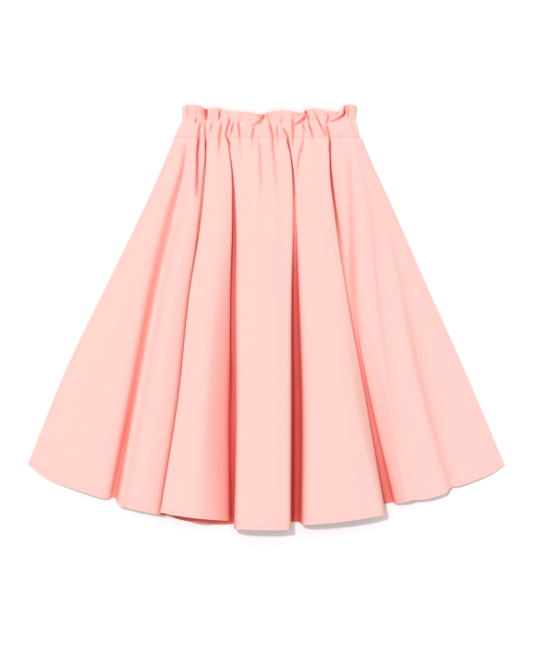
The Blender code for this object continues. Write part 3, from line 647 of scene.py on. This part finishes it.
def from_hem(share):
    """Each row's distance from the hem's edge: what is left of the panel's length."""
    return (1 - share) * PANEL_LENGTH


def panel_wall(share, thickness):
    """A panel's thickness at each row. The hem is turned up, so it grows there by a share."""
    single = smooth_step((from_hem(share) - HEM_TURN) / HEM_STEP + 0.5)
    return thickness * (1 + HEM_THICKER * (1 - single))


def hem_dip(share):
    """How far the hem's stitches press the cloth in: a bell of the distance from the stitch line."""
    return HEM_DIP * np.exp(-(((from_hem(share) - HEM_STITCH) / HEM_DIP_WIDTH) ** 2))


def fade_in(values, limits):
    """0 up to the first limit, 1 from the second one, and a smooth step between."""
    return smooth_step((values - limits[0]) / (limits[1] - limits[0]))


def panel_shares():
    """The panels' rows as shares of the way down: a quadratic in the row's number, then the hem's rows."""
    stop = 1 - (HEM_ROWS[0] + LAST_ROW_GAP) / PANEL_LENGTH
    q = np.linspace(0, 1, PANEL_ROWS)
    upper = stop * ((1 - ROW_GROWTH) * q + ROW_GROWTH * q * q)
    return np.concatenate([upper, 1 - np.array(HEM_ROWS) / PANEL_LENGTH])


def front_sheet(thickness):
    """The front panel's middle surface, columns by rows: the spline through the folds' section points, with
    the waves added and the creases and the hem's stitch line pressed in. It lies on the back panel."""
    share = panel_shares()
    lowest = LOWEST_WALLS * panel_wall(share, thickness)
    points, steps = front_controls(share, lowest)
    sheet = spline(points, places_of(steps))
    x, y = sheet[:, :, 0], sheet[:, :, 1]
    clear = fade_in(sheet[:, :, 2], CLEAR_HEIGHTS)
    sheet[:, :, 2] += (wave_height(x, y, FRONT_WAVES) - hem_dip(share)) * clear
    sheet[:, :, 2] -= crease_depth(x, y, CREASES + LONG_FOLDS)
    to_seam = share * PANEL_LENGTH
    level = SEAM_Z - SEAM_TUCK * (1 - smooth_step(to_seam / TUCK_WIDTH)) - crease_depth(x, y)
    sheet[:, :, 2] = level + (sheet[:, :, 2] - level) * smooth_step(to_seam / SEAM_BLEND)
    sheet[:, :, 2] = np.maximum(sheet[:, :, 2], lowest)
    return sheet, share


def back_sheet(thickness):
    """The back panel's middle surface, columns by rows. It lies flat, and its folds rise under the front's
    tongues. Its waves and the gathers' creases are hollows on its outer side, so here they rise too."""
    share = panel_shares()
    flat = 0.5 * panel_wall(share, thickness)
    rows = [(along(SIDES[0], share), flat, SIDE_HEM_RADIUS[0])]
    for fold in BACK_FOLDS:
        line, width = along(fold.line, share), along(fold.width, share)
        height = np.maximum(along(fold.height, share), 0)
        for p in BACK_SECTION:
            rows.append((line + p.x * width, flat + p.height * height, fold.hem_radius))
    rows.append((along(SIDES[1], share), flat, SIDE_HEM_RADIUS[1]))
    sheet = spline(hung_from_seam(rows, share), places_of([BACK_STEPS] * (len(rows) - 1)))
    x, y = sheet[:, :, 0], sheet[:, :, 1]
    edge = fade_in(np.minimum(x - x[:1], x[-1:] - x), EDGE_DISTANCES)
    sheet[:, :, 2] += (wave_height(x, y, BACK_WAVES) + BACK_CREASE_SHARE * crease_depth(-x, y)) * edge
    sheet[:, :, 2] += hem_dip(share)
    return sheet, share


def strip_middle(rows_up):
    """The waist strip's middle surface: a closed ring of columns, and rows from the seam up. rows_up runs
    from 0 at the seam through 1 at the upper stitch line to 2 at the frill's edge."""
    up = np.clip(rows_up, 0, 1)
    above = np.clip(rows_up - 1, 0, 1)
    swell = smooth_step(above / FRILL_SWELL_SHARE)
    puff = CASING_PUFF * 4 * up * (1 - up)

    def column(base_x, base_z, seam_z, top_x, top_y, top_z, puff_share):
        seam_x = np.interp(base_x, GATHER_AT_STITCH, GATHER_AT_SEAM)
        x = seam_x + (base_x - seam_x) * up + (top_x - base_x) * above
        y = SEAM_Y + (STITCH_Y - SEAM_Y) * up + (top_y - STITCH_Y) * above
        z = seam_z + (base_z - seam_z) * smooth_step(up) + (top_z - base_z) * swell + puff_share * puff
        return np.stack([x, y, z], 1)

    rows = [column(p.base_x, p.base_z, CASING_MIDDLE, p.top_x, p.top_y, p.top_z, 1) for p in FRILL_FRONT]
    left, right = FRILL_SIDE
    low = 0.5 * STRIP_WALL
    for k in range(BACK_COLUMNS):
        place = k / (BACK_COLUMNS - 1)
        near_side = max(0.0, 1 - min(place, 1 - place) / FRILL_SIDE_SHARE)
        top = FRILL_BACK_TOP + (FRILL_BACK_SIDE_TOP - FRILL_BACK_TOP) * near_side
        wave = FRILL_BACK_WAVE * (k % 2) * (1 - near_side)
        x = right + (left - right) * place
        rows.append(column(x, low, CASING_BACK_MIDDLE, x, top, low + wave, 0))
    return np.stack(rows)


# The strip's rows up its outer side, to the upper stitch line at 1 and the frill's edge at 2, and up its
# inner side, and the angles of the rows round the edge between them, in degrees
OUTER_ROWS = np.concatenate([np.linspace(0, 1, 24), 1 + np.linspace(0, 1, 20)[1:]])
INNER_ROWS = OUTER_ROWS[::2]
RIM_TURNS = (40, 90, 140)


def unit(vectors):
    """Vectors at unit length."""
    return vectors / np.maximum(np.linalg.norm(vectors, axis=-1, keepdims=True), 1e-9)


def strip_skins():
    """The waist strip as a closed surface, columns by rows: its outer side from the seam up, the rounded
    edge of the frill, and its inner side back down. Each side lies half the wall's thickness from the middle
    surface, square to it. Also the numbers of the columns on its front and on its back, left to right."""
    ring = len(FRILL_FRONT)
    count = ring + BACK_COLUMNS
    places = np.concatenate([
        np.arange(0, ring, 1 / STRIP_FRONT_STEPS),
        np.arange(ring, count, 1 / STRIP_BACK_STEPS),
    ])
    front = places < ring
    fronts = np.flatnonzero(places <= ring - 1)
    backs = np.flatnonzero((places >= ring) & (places <= count - 1))[::-1]

    def skin(rows_up):
        middle = closed_spline(strip_middle(rows_up), places)
        x, y = middle[:, :, 0], middle[:, :, 1]
        dip = SEAM_TUCK * (1 - smooth_step((y - SEAM_Y) / TUCK_WIDTH))
        for stitch_y, depth in ((STITCH_Y, STITCH_DIP), (LOWER_STITCH_Y, LOWER_STITCH_DIP)):
            dip = dip + depth * np.exp(-(((y - stitch_y) / DIP_WIDTH) ** 2))
        across = unit(np.roll(middle, -1, 0) - np.roll(middle, 1, 0))
        upward = unit(np.gradient(middle, axis=1))
        normal = unit(np.cross(across, upward))
        up = np.clip(rows_up, 0, 1)
        full = smooth_step(up / WALL_GROWTH) * smooth_step((1 - up) / WALL_GROWTH)
        wall = STRIP_WALL + (CASING_WALL - STRIP_WALL) * full
        z = middle[:, :, 2]
        in_front = np.maximum(z - crease_depth(x, y) - dip, PARTING_Z + 0.5 * wall + CREASE_FLOOR)
        behind = np.maximum(z + BACK_CREASE_SHARE * (crease_depth(-x, y) + dip), 0.5 * wall + STITCH_ROOM)
        middle[:, :, 2] = np.where(front[:, None], in_front, behind)
        return middle, normal, upward, wall[None, :, None]

    middle, normal, upward, wall = skin(OUTER_ROWS)
    outer = middle + 0.5 * wall * normal
    outer[:, :, 2] = np.maximum(outer[:, :, 2], 0)
    edge, out, top = middle[:, -1], 0.5 * STRIP_WALL * normal[:, -1], 0.5 * STRIP_WALL * upward[:, -1]
    rim = np.stack([edge + np.cos(turn) * out + np.sin(turn) * top for turn in np.radians(RIM_TURNS)], 1)
    middle, normal, _, wall = skin(INNER_ROWS)
    inner = (middle - 0.5 * wall * normal)[:, ::-1]
    z = inner[:, :, 2]
    below = np.minimum(z, PARTING_Z - PARTING_GAP)
    inner[:, :, 2] = np.where(front[:, None], np.maximum(z, PARTING_Z), below)
    return np.concatenate([outer, rim, inner], 1), fronts, backs


def openness(x, z):
    """How open to the light each point of a section is, for every row of columns-by-rows arrays: the mean of
    the cosines of the steepest lines up to the cloth on its left and on its right, squared, where a share of
    the cloth's own slope is taken from the left angle and added to the right one. It is 1 on open cloth, about
    a quarter at the foot of a wall, and 0 in a closed fold. The cloth's colour is painted darker by it, as
    painted shade in the folds."""
    seen = np.ones_like(x)
    count = len(x)
    slope = SLOPE_IN_SHADE * np.arctan2(-np.gradient(z, axis=0), np.maximum(np.gradient(x, axis=0), 1e-6))
    after = np.triu(np.ones((count, count), bool), 1)
    for k in range(x.shape[1]):
        across = x[None, :, k] - x[:, None, k]
        rise = z[None, :, k] - z[:, None, k]
        right = np.where(after, np.arctan2(rise, across), 0).max(1)
        left = np.where(after.T, np.arctan2(rise, -across), 0).max(1)
        both = 0.5 * np.clip(np.cos(left - slope[:, k]) + np.cos(right + slope[:, k]), 0, 2)
        seen[:, k] = np.where(left + right < np.pi, both**2, 0)
    return seen


def crease_shade(x, y, most, creases=CREASES):
    """The painted shade of a crease, whose cloth is pinched together: the share of its openness that is kept,
    so that its colour is painted darker, one less a share that grows towards its limit with the crease's
    depth."""
    return 1 - most * (1 - np.exp(-crease_depth(x, y, creases) / CREASE_SHADE_DEPTH))


def arc_length(points, axis):
    """The distance run so far along an axis of a grid of points."""
    step = np.linalg.norm(np.diff(points, axis=axis), axis=-1)
    start = np.zeros_like(np.take(step, [0], axis=axis))
    return np.concatenate([start, np.cumsum(step, axis=axis)], axis=axis)


def grid_quads(columns, rows, closed_across=False, closed_down=False):
    """The corners of a grid's quads, for points numbered column by column."""
    i = np.arange(columns if closed_across else columns - 1)[:, None]
    k = np.arange(rows if closed_down else rows - 1)[None, :]
    j, m = (i + 1) % columns, (k + 1) % rows
    corners = (i * rows + k, i * rows + m, j * rows + m, j * rows + k)
    return np.stack([np.broadcast_to(c, np.broadcast_shapes(i.shape, k.shape)).ravel() for c in corners], 1)


def sharpen_rims(mesh, columns, rows, closed_across=False):
    """Marks a grid's outer edges as sharp, so that the cloth's cut edges don't bend its shading."""
    ends = np.zeros(2 * len(mesh.edges), np.int32)
    mesh.edges.foreach_get("vertices", ends)
    column, row = np.divmod(ends.reshape(-1, 2), rows)
    sharp = (row == 0).all(1) | (row == rows - 1).all(1)
    if not closed_across:
        sharp |= (column == 0).all(1) | (column == columns - 1).all(1)
    mesh.attributes.new("sharp_edge", "BOOLEAN", "EDGE").data.foreach_set("value", sharp)


def new_piece(name, points, faces, material, uv=None, attributes=None):
    """A mesh object from points in millimetres and a list of faces, at the origin, riding on the skirt's one
    body."""
    mesh = bpy.data.meshes.new(name)
    mesh.from_pydata((points.reshape(-1, 3) * MM).tolist(), [], faces)
    if uv is not None:
        corner = np.zeros(len(mesh.loops), np.int32)
        mesh.loops.foreach_get("vertex_index", corner)
        mesh.uv_layers.new(name="cloth").data.foreach_set("uv", uv.reshape(-1, 2)[corner].ravel() * MM)
    for key, values in (attributes or {}).items():
        mesh.attributes.new(key, "FLOAT", "POINT").data.foreach_set("value", values.ravel())
    mesh.materials.append(material)
    mesh.shade_smooth()
    piece = bpy.data.objects.new(name, mesh)
    bpy.context.scene.collection.objects.link(piece)
    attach(piece, BODY)
    return piece


def solidify(piece, wall, thinnest):
    """Gives a sheet its wall, half on each side. A vertex's weight is its share of the way from the thinnest
    wall to the thickest one."""
    thickest = wall.max()
    weights = np.round((wall.ravel() - thinnest) / (thickest - thinnest), 2)
    group = piece.vertex_groups.new(name="wall")
    for weight in np.unique(weights):
        group.add(np.flatnonzero(weights == weight).tolist(), float(weight), "REPLACE")
    modifier = piece.modifiers.new("wall", "SOLIDIFY")
    modifier.thickness = thickest * MM
    modifier.offset = 0
    modifier.vertex_group = group.name
    modifier.thickness_vertex_group = thinnest / thickest


def make_panel(name, sheet, share, seen, settings):
    """A panel's piece from its middle surface. Its threads run along the cloth from the middle column."""
    columns, rows = sheet.shape[:2]
    run = arc_length(sheet, 0)
    uv = np.stack([run - run[columns // 2], sheet[:, :, 1]], -1)
    faces = grid_quads(columns, rows).tolist()
    piece = new_piece(name, sheet, faces, cloth_material(settings, name), uv, {"openness": seen})
    sharpen_rims(piece.data, columns, rows)
    thickness = settings.thickness / MM
    solidify(piece, np.broadcast_to(panel_wall(share, thickness), (columns, rows)), thickness)
    return piece


class Value:
    """An output socket that Python's operators turn into Math nodes."""

    def __init__(self, graph, socket):
        self.graph = graph
        self.socket = socket

    def math(self, operation, first, second):
        return self.graph.node("ShaderNodeMath", {"operation": operation}, {0: first, 1: second})

    def __add__(self, other):
        return self.math("ADD", self, other)

    def __radd__(self, other):
        return self.math("ADD", other, self)

    def __sub__(self, other):
        return self.math("SUBTRACT", self, other)

    def __rsub__(self, other):
        return self.math("SUBTRACT", other, self)

    def __mul__(self, other):
        return self.math("MULTIPLY", self, other)

    def __rmul__(self, other):
        return self.math("MULTIPLY", other, self)


class Graph:
    """The nodes of one material."""

    def __init__(self, name):
        self.material = bpy.data.materials.new(name)
        self.material.use_nodes = True
        self.tree = self.material.node_tree
        self.shader = self.tree.nodes["Principled BSDF"]

    def put(self, node, inputs):
        """Links or sets a node's sockets, by name or number."""
        for key, value in inputs.items():
            if isinstance(value, Value):
                self.tree.links.new(value.socket, node.inputs[key])
            else:
                node.inputs[key].default_value = value

    def node(self, kind, settings=None, inputs=None, output=0):
        """Adds a node of that type: its settings first, then its sockets, and returns one of its outputs."""
        node = self.tree.nodes.new(kind)
        for key, value in (settings or {}).items():
            if key == "stops":
                self.set_stops(node.color_ramp, value)
            else:
                setattr(node, key, value)
        self.put(node, inputs or {})
        return Value(self, node.outputs[output])

    def set_stops(self, ramp, stops):
        """The places and colours of a ramp."""
        while len(ramp.elements) < len(stops):
            ramp.elements.new(0.5)
        for element, (place, colour) in zip(ramp.elements, stops):
            element.position = place
            element.color = (*colour, 1)

    def sine(self, value):
        return self.node("ShaderNodeMath", {"operation": "SINE"}, {0: value})

    def noise(self, place, scale, detail):
        return self.node("ShaderNodeTexNoise", inputs={"Vector": place, "Scale": scale, "Detail": detail})


# The scale and the detail of the cloth's noises: a faint mottling, flecks of yarn and longer slubs. How much
# the first two vary the tone, how high the weave, the flecks and the slubs stand in the bump, and the
# cloth's roughness and how much the slubs vary it.
MOTTLE, FLECK, SLUB = (38.0, 3.0), (900.0, 2.0), (420.0, 3.0)
MOTTLE_TONE, FLECK_TONE = 0.05, 0.03
WEAVE_HEIGHT, FLECK_HEIGHT, SLUB_HEIGHT = 0.35, 0.8, 1.6
CLOTH_ROUGHNESS, SLUB_ROUGHNESS = 0.82, 0.12


def cloth_material(settings, name):
    """Matte, finely woven pink cloth. Its colour is painted shade: it runs from the open cloth's pale pink to
    a deep coral in the folds and creases, by the sections' openness, so that the shade between the walls of a
    fold is painted into the colour, with a faint mottling. Its bump is the sum of the weave, sine across the
    warp times sine across the weft, and two soft noises."""
    graph = Graph(name)
    place = graph.node("ShaderNodeTexCoord", output="Object")
    seen = graph.node("ShaderNodeAttribute", {"attribute_name": "openness"}, output="Fac")
    mottle, fleck, slub = (graph.noise(place, *size) for size in (MOTTLE, FLECK, SLUB))
    tone = seen + (mottle - 0.5) * MOTTLE_TONE + (fleck - 0.5) * FLECK_TONE
    # Every stop below the open cloth's colour is a painted shade colour
    stops = (
        (0.05, settings.closed_fold_painted_shade_colour),
        (0.2, settings.fold_painted_shade_colour),
        (0.45, settings.painted_shade_colour),
        (0.8, settings.soft_painted_shade_colour),
        (1.0, settings.lit_colour),
    )
    colour = graph.node("ShaderNodeValToRGB", {"stops": stops}, {0: tone})
    uv = graph.node("ShaderNodeUVMap", {"uv_map": "cloth"})
    weft, warp = (graph.node("ShaderNodeSeparateXYZ", inputs={0: uv}, output=i) for i in range(2))
    turn = 2 * np.pi / settings.weave_pitch
    weave = graph.sine(weft * turn) * graph.sine(warp * turn)
    height = weave * WEAVE_HEIGHT + fleck * FLECK_HEIGHT + slub * SLUB_HEIGHT
    bump = graph.node("ShaderNodeBump", inputs={"Strength": 0.35, "Distance": 0.00012, "Height": height})
    graph.put(graph.shader, {
        "Base Color": colour,
        "Roughness": CLOTH_ROUGHNESS + (slub - 0.5) * SLUB_ROUGHNESS,
        "Normal": bump,
        "Sheen Weight": settings.sheen,
        "Sheen Roughness": 0.45,
        "Specular IOR Level": 0.25,
    })
    return graph.material


def thread_material(settings):
    """Sewing thread of the cloth's colour, with its ply as a fine slanted wave whose grooves take the painted
    shade colour, a painted shade between its strands.
    """
    graph = Graph("sewing_thread")
    place = graph.node("ShaderNodeTexCoord", output="Object")
    ply = graph.node(
        "ShaderNodeTexWave",
        {"wave_type": "BANDS", "bands_direction": "DIAGONAL"},
        {"Vector": place, "Scale": 700.0, "Distortion": 1.0},
        output=1,
    )
    stops = ((0.0, settings.painted_shade_colour), (1.0, settings.lit_colour))
    graph.put(graph.shader, {
        "Base Color": graph.node("ShaderNodeValToRGB", {"stops": stops}, {0: ply}),
        "Roughness": 0.6 + ply * 0.15,
        "Normal": graph.node("ShaderNodeBump", inputs={"Strength": 0.4, "Distance": 0.0001, "Height": ply}),
    })
    return graph.material


# A stitch: its rings and the sides of each, its radius at its ends as a share of the thread's, and in radii
# how far its ends are sunk in the cloth and how far its middle arches up from them
STITCH_RINGS = 5
STITCH_SIDES = 6
STITCH_TIP = 0.25
STITCH_SUNK = 0.4
STITCH_ARCH = 1.3


def stitch_row(points, normals, pitch, length, radius):
    """Stitches along a line of points. Each is a closed spindle: rings of a circle whose radius follows half
    a sine wave along the stitch, laid along the line and lifted off the cloth at its middle."""
    run = arc_length(points, 0)
    starts = np.arange(0.5 * pitch, run[-1] - length, pitch)
    rings = np.linspace(0, 1, STITCH_RINGS)
    where = starts[:, None] + length * rings[None, :]
    centre = np.stack([np.interp(where, run, points[:, i]) for i in range(3)], -1)
    normal = unit(np.stack([np.interp(where, run, normals[:, i]) for i in range(3)], -1))
    tangent = unit(np.gradient(centre, axis=1))
    side = unit(np.cross(tangent, normal))
    belly = np.sin(np.pi * rings)
    size = radius * (STITCH_TIP + (1 - STITCH_TIP) * belly)
    centre = centre + normal * (radius * (STITCH_ARCH * belly - STITCH_SUNK))[None, :, None]
    turns = np.linspace(0, 2 * np.pi, STITCH_SIDES, endpoint=False)
    cos, sin = (part[None, None, :, None] for part in (np.cos(turns), np.sin(turns)))
    outward = cos * side[:, :, None] + sin * normal[:, :, None]
    ring = centre[:, :, None] + size[None, :, None, None] * outward
    count, rows, sides = ring.shape[:3]
    i, k = np.arange(rows - 1)[:, None], np.arange(sides)[None, :]
    k_next = (k + 1) % sides
    low, high = i * sides, (i + 1) * sides
    quads = np.stack([low + k, low + k_next, high + k_next, high + k], -1).reshape(-1, 4)
    caps = [np.arange(sides)[::-1], (rows - 1) * sides + np.arange(sides)]
    base = np.arange(count) * rows * sides
    faces = (base[:, None, None] + quads[None]).reshape(-1, 4).tolist()
    for cap in caps:
        faces += (base[:, None] + cap[None]).tolist()
    return ring.reshape(-1, 3), faces


def join_rows(rows):
    """Several rows of stitches as one list of points and faces."""
    points, faces, first = [], [], 0
    for row_points, row_faces in rows:
        points.append(row_points)
        faces += [[first + i for i in face] for face in row_faces]
        first += len(row_points)
    return np.concatenate(points), faces


def grid_normals(points):
    """The unit normals of a columns-by-rows grid whose columns run across and whose rows run down."""
    return unit(np.cross(np.gradient(points, axis=1), np.gradient(points, axis=0)))


def colour_setting(name, description, default):
    """A setting that holds a colour."""
    return bpy.props.FloatVectorProperty(
        name=name, description=description, default=default, subtype="COLOR", min=0, max=1
    )


def length_setting(name, description, default, **limits):
    """A setting that holds a length."""
    return bpy.props.FloatProperty(
        name=name, description=description, default=default, unit="LENGTH", **limits
    )


class SKIRT_PG_cloth(bpy.types.PropertyGroup):
    """The cloth"""

    thickness: length_setting("Thickness", "The panels' cloth", 0.0009)
    lit_colour: colour_setting("Open cloth", "Colour where the cloth lies open", (0.94, 0.605, 0.555))
    # The soft shade, shade, fold and deepest fold colours are painted shade, which the cloth's colour ramp
    # puts into folds and creases by their openness
    soft_painted_shade_colour: colour_setting("Soft shade", "Colour beside a fold", (0.96, 0.53, 0.48))
    painted_shade_colour: colour_setting("Shade", "Colour in shallow folds", (0.94, 0.31, 0.26))
    fold_painted_shade_colour: colour_setting("Fold", "Colour deep in a fold", (0.73, 0.12, 0.10))
    closed_fold_painted_shade_colour: colour_setting("Deepest fold", "Colour in a closed fold", (0.55, 0.03, 0.035))
    sheen: bpy.props.FloatProperty(
        name="Sheen", description="The soft bloom at glancing angles", default=0.12, min=0, max=1
    )
    weave_pitch: length_setting("Weave", "One repeat of the weave", 0.0009, precision=5)


class SKIRT_PG_sewing(bpy.types.PropertyGroup):
    """The stitching"""

    pitch: length_setting("Pitch", "From one stitch to the next", 0.0032, precision=4)
    length: length_setting("Length", "Of the thread that shows", 0.0026, precision=4)
    radius: length_setting("Thread radius", "Of the sewing thread", 0.00022, precision=5)


class SKIRT_PG_stage(bpy.types.PropertyGroup):
    """The stage"""

    floor_colour: colour_setting("Floor", "The surface that the skirt lies on", (0.98, 0.98, 0.98))
    sky: bpy.props.FloatProperty(name="Sky", description="Even light from all round", default=0.7, min=0)
    lamp: bpy.props.FloatProperty(
        name="Lamp", description="The soft lamp at the upper left", default=1.35, min=0
    )
    height: length_setting("Camera height", "Above the skirt", 8.0, min=1)


class SKIRT_OT_front_cloth(bpy.types.Operator):
    """Makes the front panel's cloth with its folds, waves and creases"""

    bl_idname = "skirt.front_cloth"
    bl_label = "Front cloth"

    def execute(self, context):
        settings = context.scene.skirt_cloth
        sheet, share = front_sheet(settings.thickness / MM)
        x, y, z = (sheet[:, :, i] for i in range(3))
        # Painted shade: the openness and the creases' shade set how far the cloth's colour is painted darker
        seen = openness(x, z) * crease_shade(x, y, PANEL_CREASE_SHADE, CREASES + LONG_FOLDS[:PAINTED_SHADE_FOLDS])
        piece = make_panel("front_cloth", sheet, share, seen, settings)
        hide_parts("front_panel")
        return {"FINISHED"}


class SKIRT_OT_back_cloth(bpy.types.Operator):
    """Makes the back panel's cloth, which lies on the surface"""

    bl_idname = "skirt.back_cloth"
    bl_label = "Back cloth"

    def execute(self, context):
        settings = context.scene.skirt_cloth
        sheet, share = back_sheet(settings.thickness / MM)
        x, y, z = (sheet[:, :, i] for i in range(3))
        # Painted shade: the openness and the creases' shade set how far the cloth's colour is painted darker
        seen = openness(x, -z) * crease_shade(-x, y, PANEL_CREASE_SHADE)
        # Painted shade where the back's hem shows below the front's, on both sides of its cloth
        peek = smooth_step((PEEK_LENGTH - from_hem(share)) / PEEK_FADE)
        for inward in (x - PEEK[0], PEEK[1] - x):
            peek = peek * smooth_step(inward / PEEK_FADE)
        piece = make_panel("back_cloth", sheet, share, seen * (1 - PAINTED_PEEK_SHADE * peek), settings)
        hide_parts("back_panel")
        return {"FINISHED"}


class SKIRT_OT_waist_strip(bpy.types.Operator):
    """Makes the gathered casing and the frill above it, which are one strip of cloth"""

    bl_idname = "skirt.waist_strip"
    bl_label = "Casing and frill"

    def execute(self, context):
        settings = context.scene.skirt_cloth
        skins, fronts, backs = strip_skins()
        columns, rows = skins.shape[:2]
        seen = np.ones((columns, rows))
        outer = len(OUTER_ROWS)
        # Painted shade: the openness and the creases' shade set how far the strip's colour is painted darker
        for side, turn in ((fronts, 1), (backs, -1)):
            x, y, z = (skins[side, :outer, i] for i in range(3))
            seen[side, :outer] = openness(x, turn * z) * crease_shade(turn * x, y, STRIP_CREASE_SHADE)
        # The strip's inner side takes a fixed painted shade
        seen[:, -len(INNER_ROWS):] = INNER_PAINTED_SHADE_OPENNESS
        uv = np.stack([arc_length(skins, 0), arc_length(skins, 1)], -1)
        faces = grid_quads(columns, rows, closed_across=True, closed_down=True)[:, ::-1].tolist()
        material = cloth_material(settings, "waist_strip")
        piece = new_piece("waist_strip", skins, faces, material, uv, {"openness": seen})
        sharpen_rims(piece.data, columns, rows, closed_across=True)
        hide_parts("waist_casing", "waist_frill")
        return {"FINISHED"}


class SKIRT_OT_stitching(bpy.types.Operator):
    """Sews the casing's two stitch lines and the hem"""

    bl_idname = "skirt.stitching"
    bl_label = "Stitching"

    def execute(self, context):
        sewing, cloth = context.scene.skirt_sewing, context.scene.skirt_cloth
        sizes = (sewing.pitch / MM, sewing.length / MM, sewing.radius / MM)
        thread = thread_material(cloth)
        thickness = cloth.thickness / MM
        skins = strip_skins()[0]
        normals = -grid_normals(skins)
        rows = []
        for y in (STITCH_Y, LOWER_STITCH_Y):
            row = int(np.argmin(np.abs(SEAM_Y + (STITCH_Y - SEAM_Y) * OUTER_ROWS - y)))
            rows.append(stitch_row(skins[:, row], normals[:, row], *sizes))
        new_piece("waist_stitching", *join_rows(rows), thread)
        rows = []
        for sheet, share, turn in ((*front_sheet(thickness), 1), (*back_sheet(thickness), -1)):
            row = int(np.argmin(np.abs(from_hem(share) - HEM_STITCH)))
            normal = grid_normals(sheet)[:, row] * turn
            surface = sheet[:, row] + 0.5 * (1 + HEM_THICKER) * thickness * normal
            rows.append(stitch_row(surface, normal, *sizes))
        new_piece("hem_stitching", *join_rows(rows), thread)
        return {"FINISHED"}


# What the photograph's frame takes in on the floor, in metres: its longer side, and its middle
VIEW_LENGTH = 1.2321
VIEW_CENTRE = (0.0005, -0.029)
SENSOR_WIDTH = 36.0
CAMERA_REACH = 100.0

# The floor's side and its z, just below the skirt, in metres, and how rough and how glossy it is. Where the
# lamp shines from, and how wide it looks, in radians.
FLOOR_SIZE = 12.0
FLOOR_Z = -0.0002
FLOOR_ROUGHNESS = 0.9
FLOOR_GLOSS = 0.1
LAMP_PLACE = (-0.8, 0.9, 3.0)
LAMP_ANGLE = 0.08


class SKIRT_OT_stage(bpy.types.Operator):
    """Makes the floor, the light and the camera straight above the skirt"""

    bl_idname = "skirt.stage"
    bl_label = "Stage"

    def execute(self, context):
        settings = context.scene.skirt_stage
        bpy.ops.mesh.primitive_plane_add(size=FLOOR_SIZE, location=(0, 0, FLOOR_Z))
        floor = context.object
        floor.name = "floor"
        material = bpy.data.materials.new("floor")
        material.use_nodes = True
        shader = material.node_tree.nodes["Principled BSDF"]
        shader.inputs["Base Color"].default_value = (*settings.floor_colour, 1)
        shader.inputs["Roughness"].default_value = FLOOR_ROUGHNESS
        shader.inputs["Specular IOR Level"].default_value = FLOOR_GLOSS
        floor.data.materials.append(material)
        world = bpy.data.worlds.new("studio")
        world.use_nodes = True
        background = world.node_tree.nodes["Background"]
        background.inputs["Color"].default_value = (1, 1, 1, 1)
        background.inputs["Strength"].default_value = settings.sky
        context.scene.world = world
        lamp = bpy.data.lights.new("soft_lamp", "SUN")
        lamp.energy = settings.lamp
        lamp.angle = LAMP_ANGLE
        lamp_object = bpy.data.objects.new("soft_lamp", lamp)
        lamp_object.location = LAMP_PLACE
        lamp_object.rotation_euler = (lamp_object.location.to_track_quat("Z", "Y")).to_euler()
        context.scene.collection.objects.link(lamp_object)
        camera = bpy.data.cameras.new("camera")
        camera.sensor_width = SENSOR_WIDTH
        camera.lens = SENSOR_WIDTH * settings.height / VIEW_LENGTH
        camera.clip_end = CAMERA_REACH
        eye = bpy.data.objects.new("camera", camera)
        eye.location = (*VIEW_CENTRE, settings.height)
        context.scene.collection.objects.link(eye)
        context.scene.camera = eye
        context.scene.view_settings.view_transform = "Standard"
        return {"FINISHED"}


class SKIRT_PT_panel(bpy.types.Panel):
    """The skirt's sizes, colours and pieces"""

    bl_label = "Gathered skirt"
    bl_idname = "SKIRT_PT_panel"
    bl_space_type = "VIEW_3D"
    bl_region_type = "UI"
    bl_category = "Skirt"

    def draw(self, context):
        for settings in (context.scene.skirt_cloth, context.scene.skirt_sewing, context.scene.skirt_stage):
            for key in settings.__annotations__:
                self.layout.prop(settings, key)
        for operator in OPERATORS:
            self.layout.operator(operator.bl_idname)


SETTINGS = {"skirt_cloth": SKIRT_PG_cloth, "skirt_sewing": SKIRT_PG_sewing, "skirt_stage": SKIRT_PG_stage}
OPERATORS = (
    SKIRT_OT_stage,
    SKIRT_OT_front_cloth,
    SKIRT_OT_back_cloth,
    SKIRT_OT_waist_strip,
    SKIRT_OT_stitching,
)


def register():
    for cls in (*SETTINGS.values(), *OPERATORS, SKIRT_PT_panel):
        bpy.utils.register_class(cls)
    for name, group in SETTINGS.items():
        setattr(bpy.types.Scene, name, bpy.props.PointerProperty(type=group))


def unregister():
    for name in SETTINGS:
        delattr(bpy.types.Scene, name)
    for cls in (SKIRT_PT_panel, *reversed(OPERATORS), *SETTINGS.values()):
        bpy.utils.unregister_class(cls)


def corners(bounds):
    """A box's two corners as plain lists."""
    return [[float(v) for v in corner] for corner in bounds]


def main():
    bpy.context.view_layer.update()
    register()
    for operator in OPERATORS:
        group, name = operator.bl_idname.split(".")
        getattr(getattr(bpy.ops, group), name)()


if __name__ == "__main__":
    main()
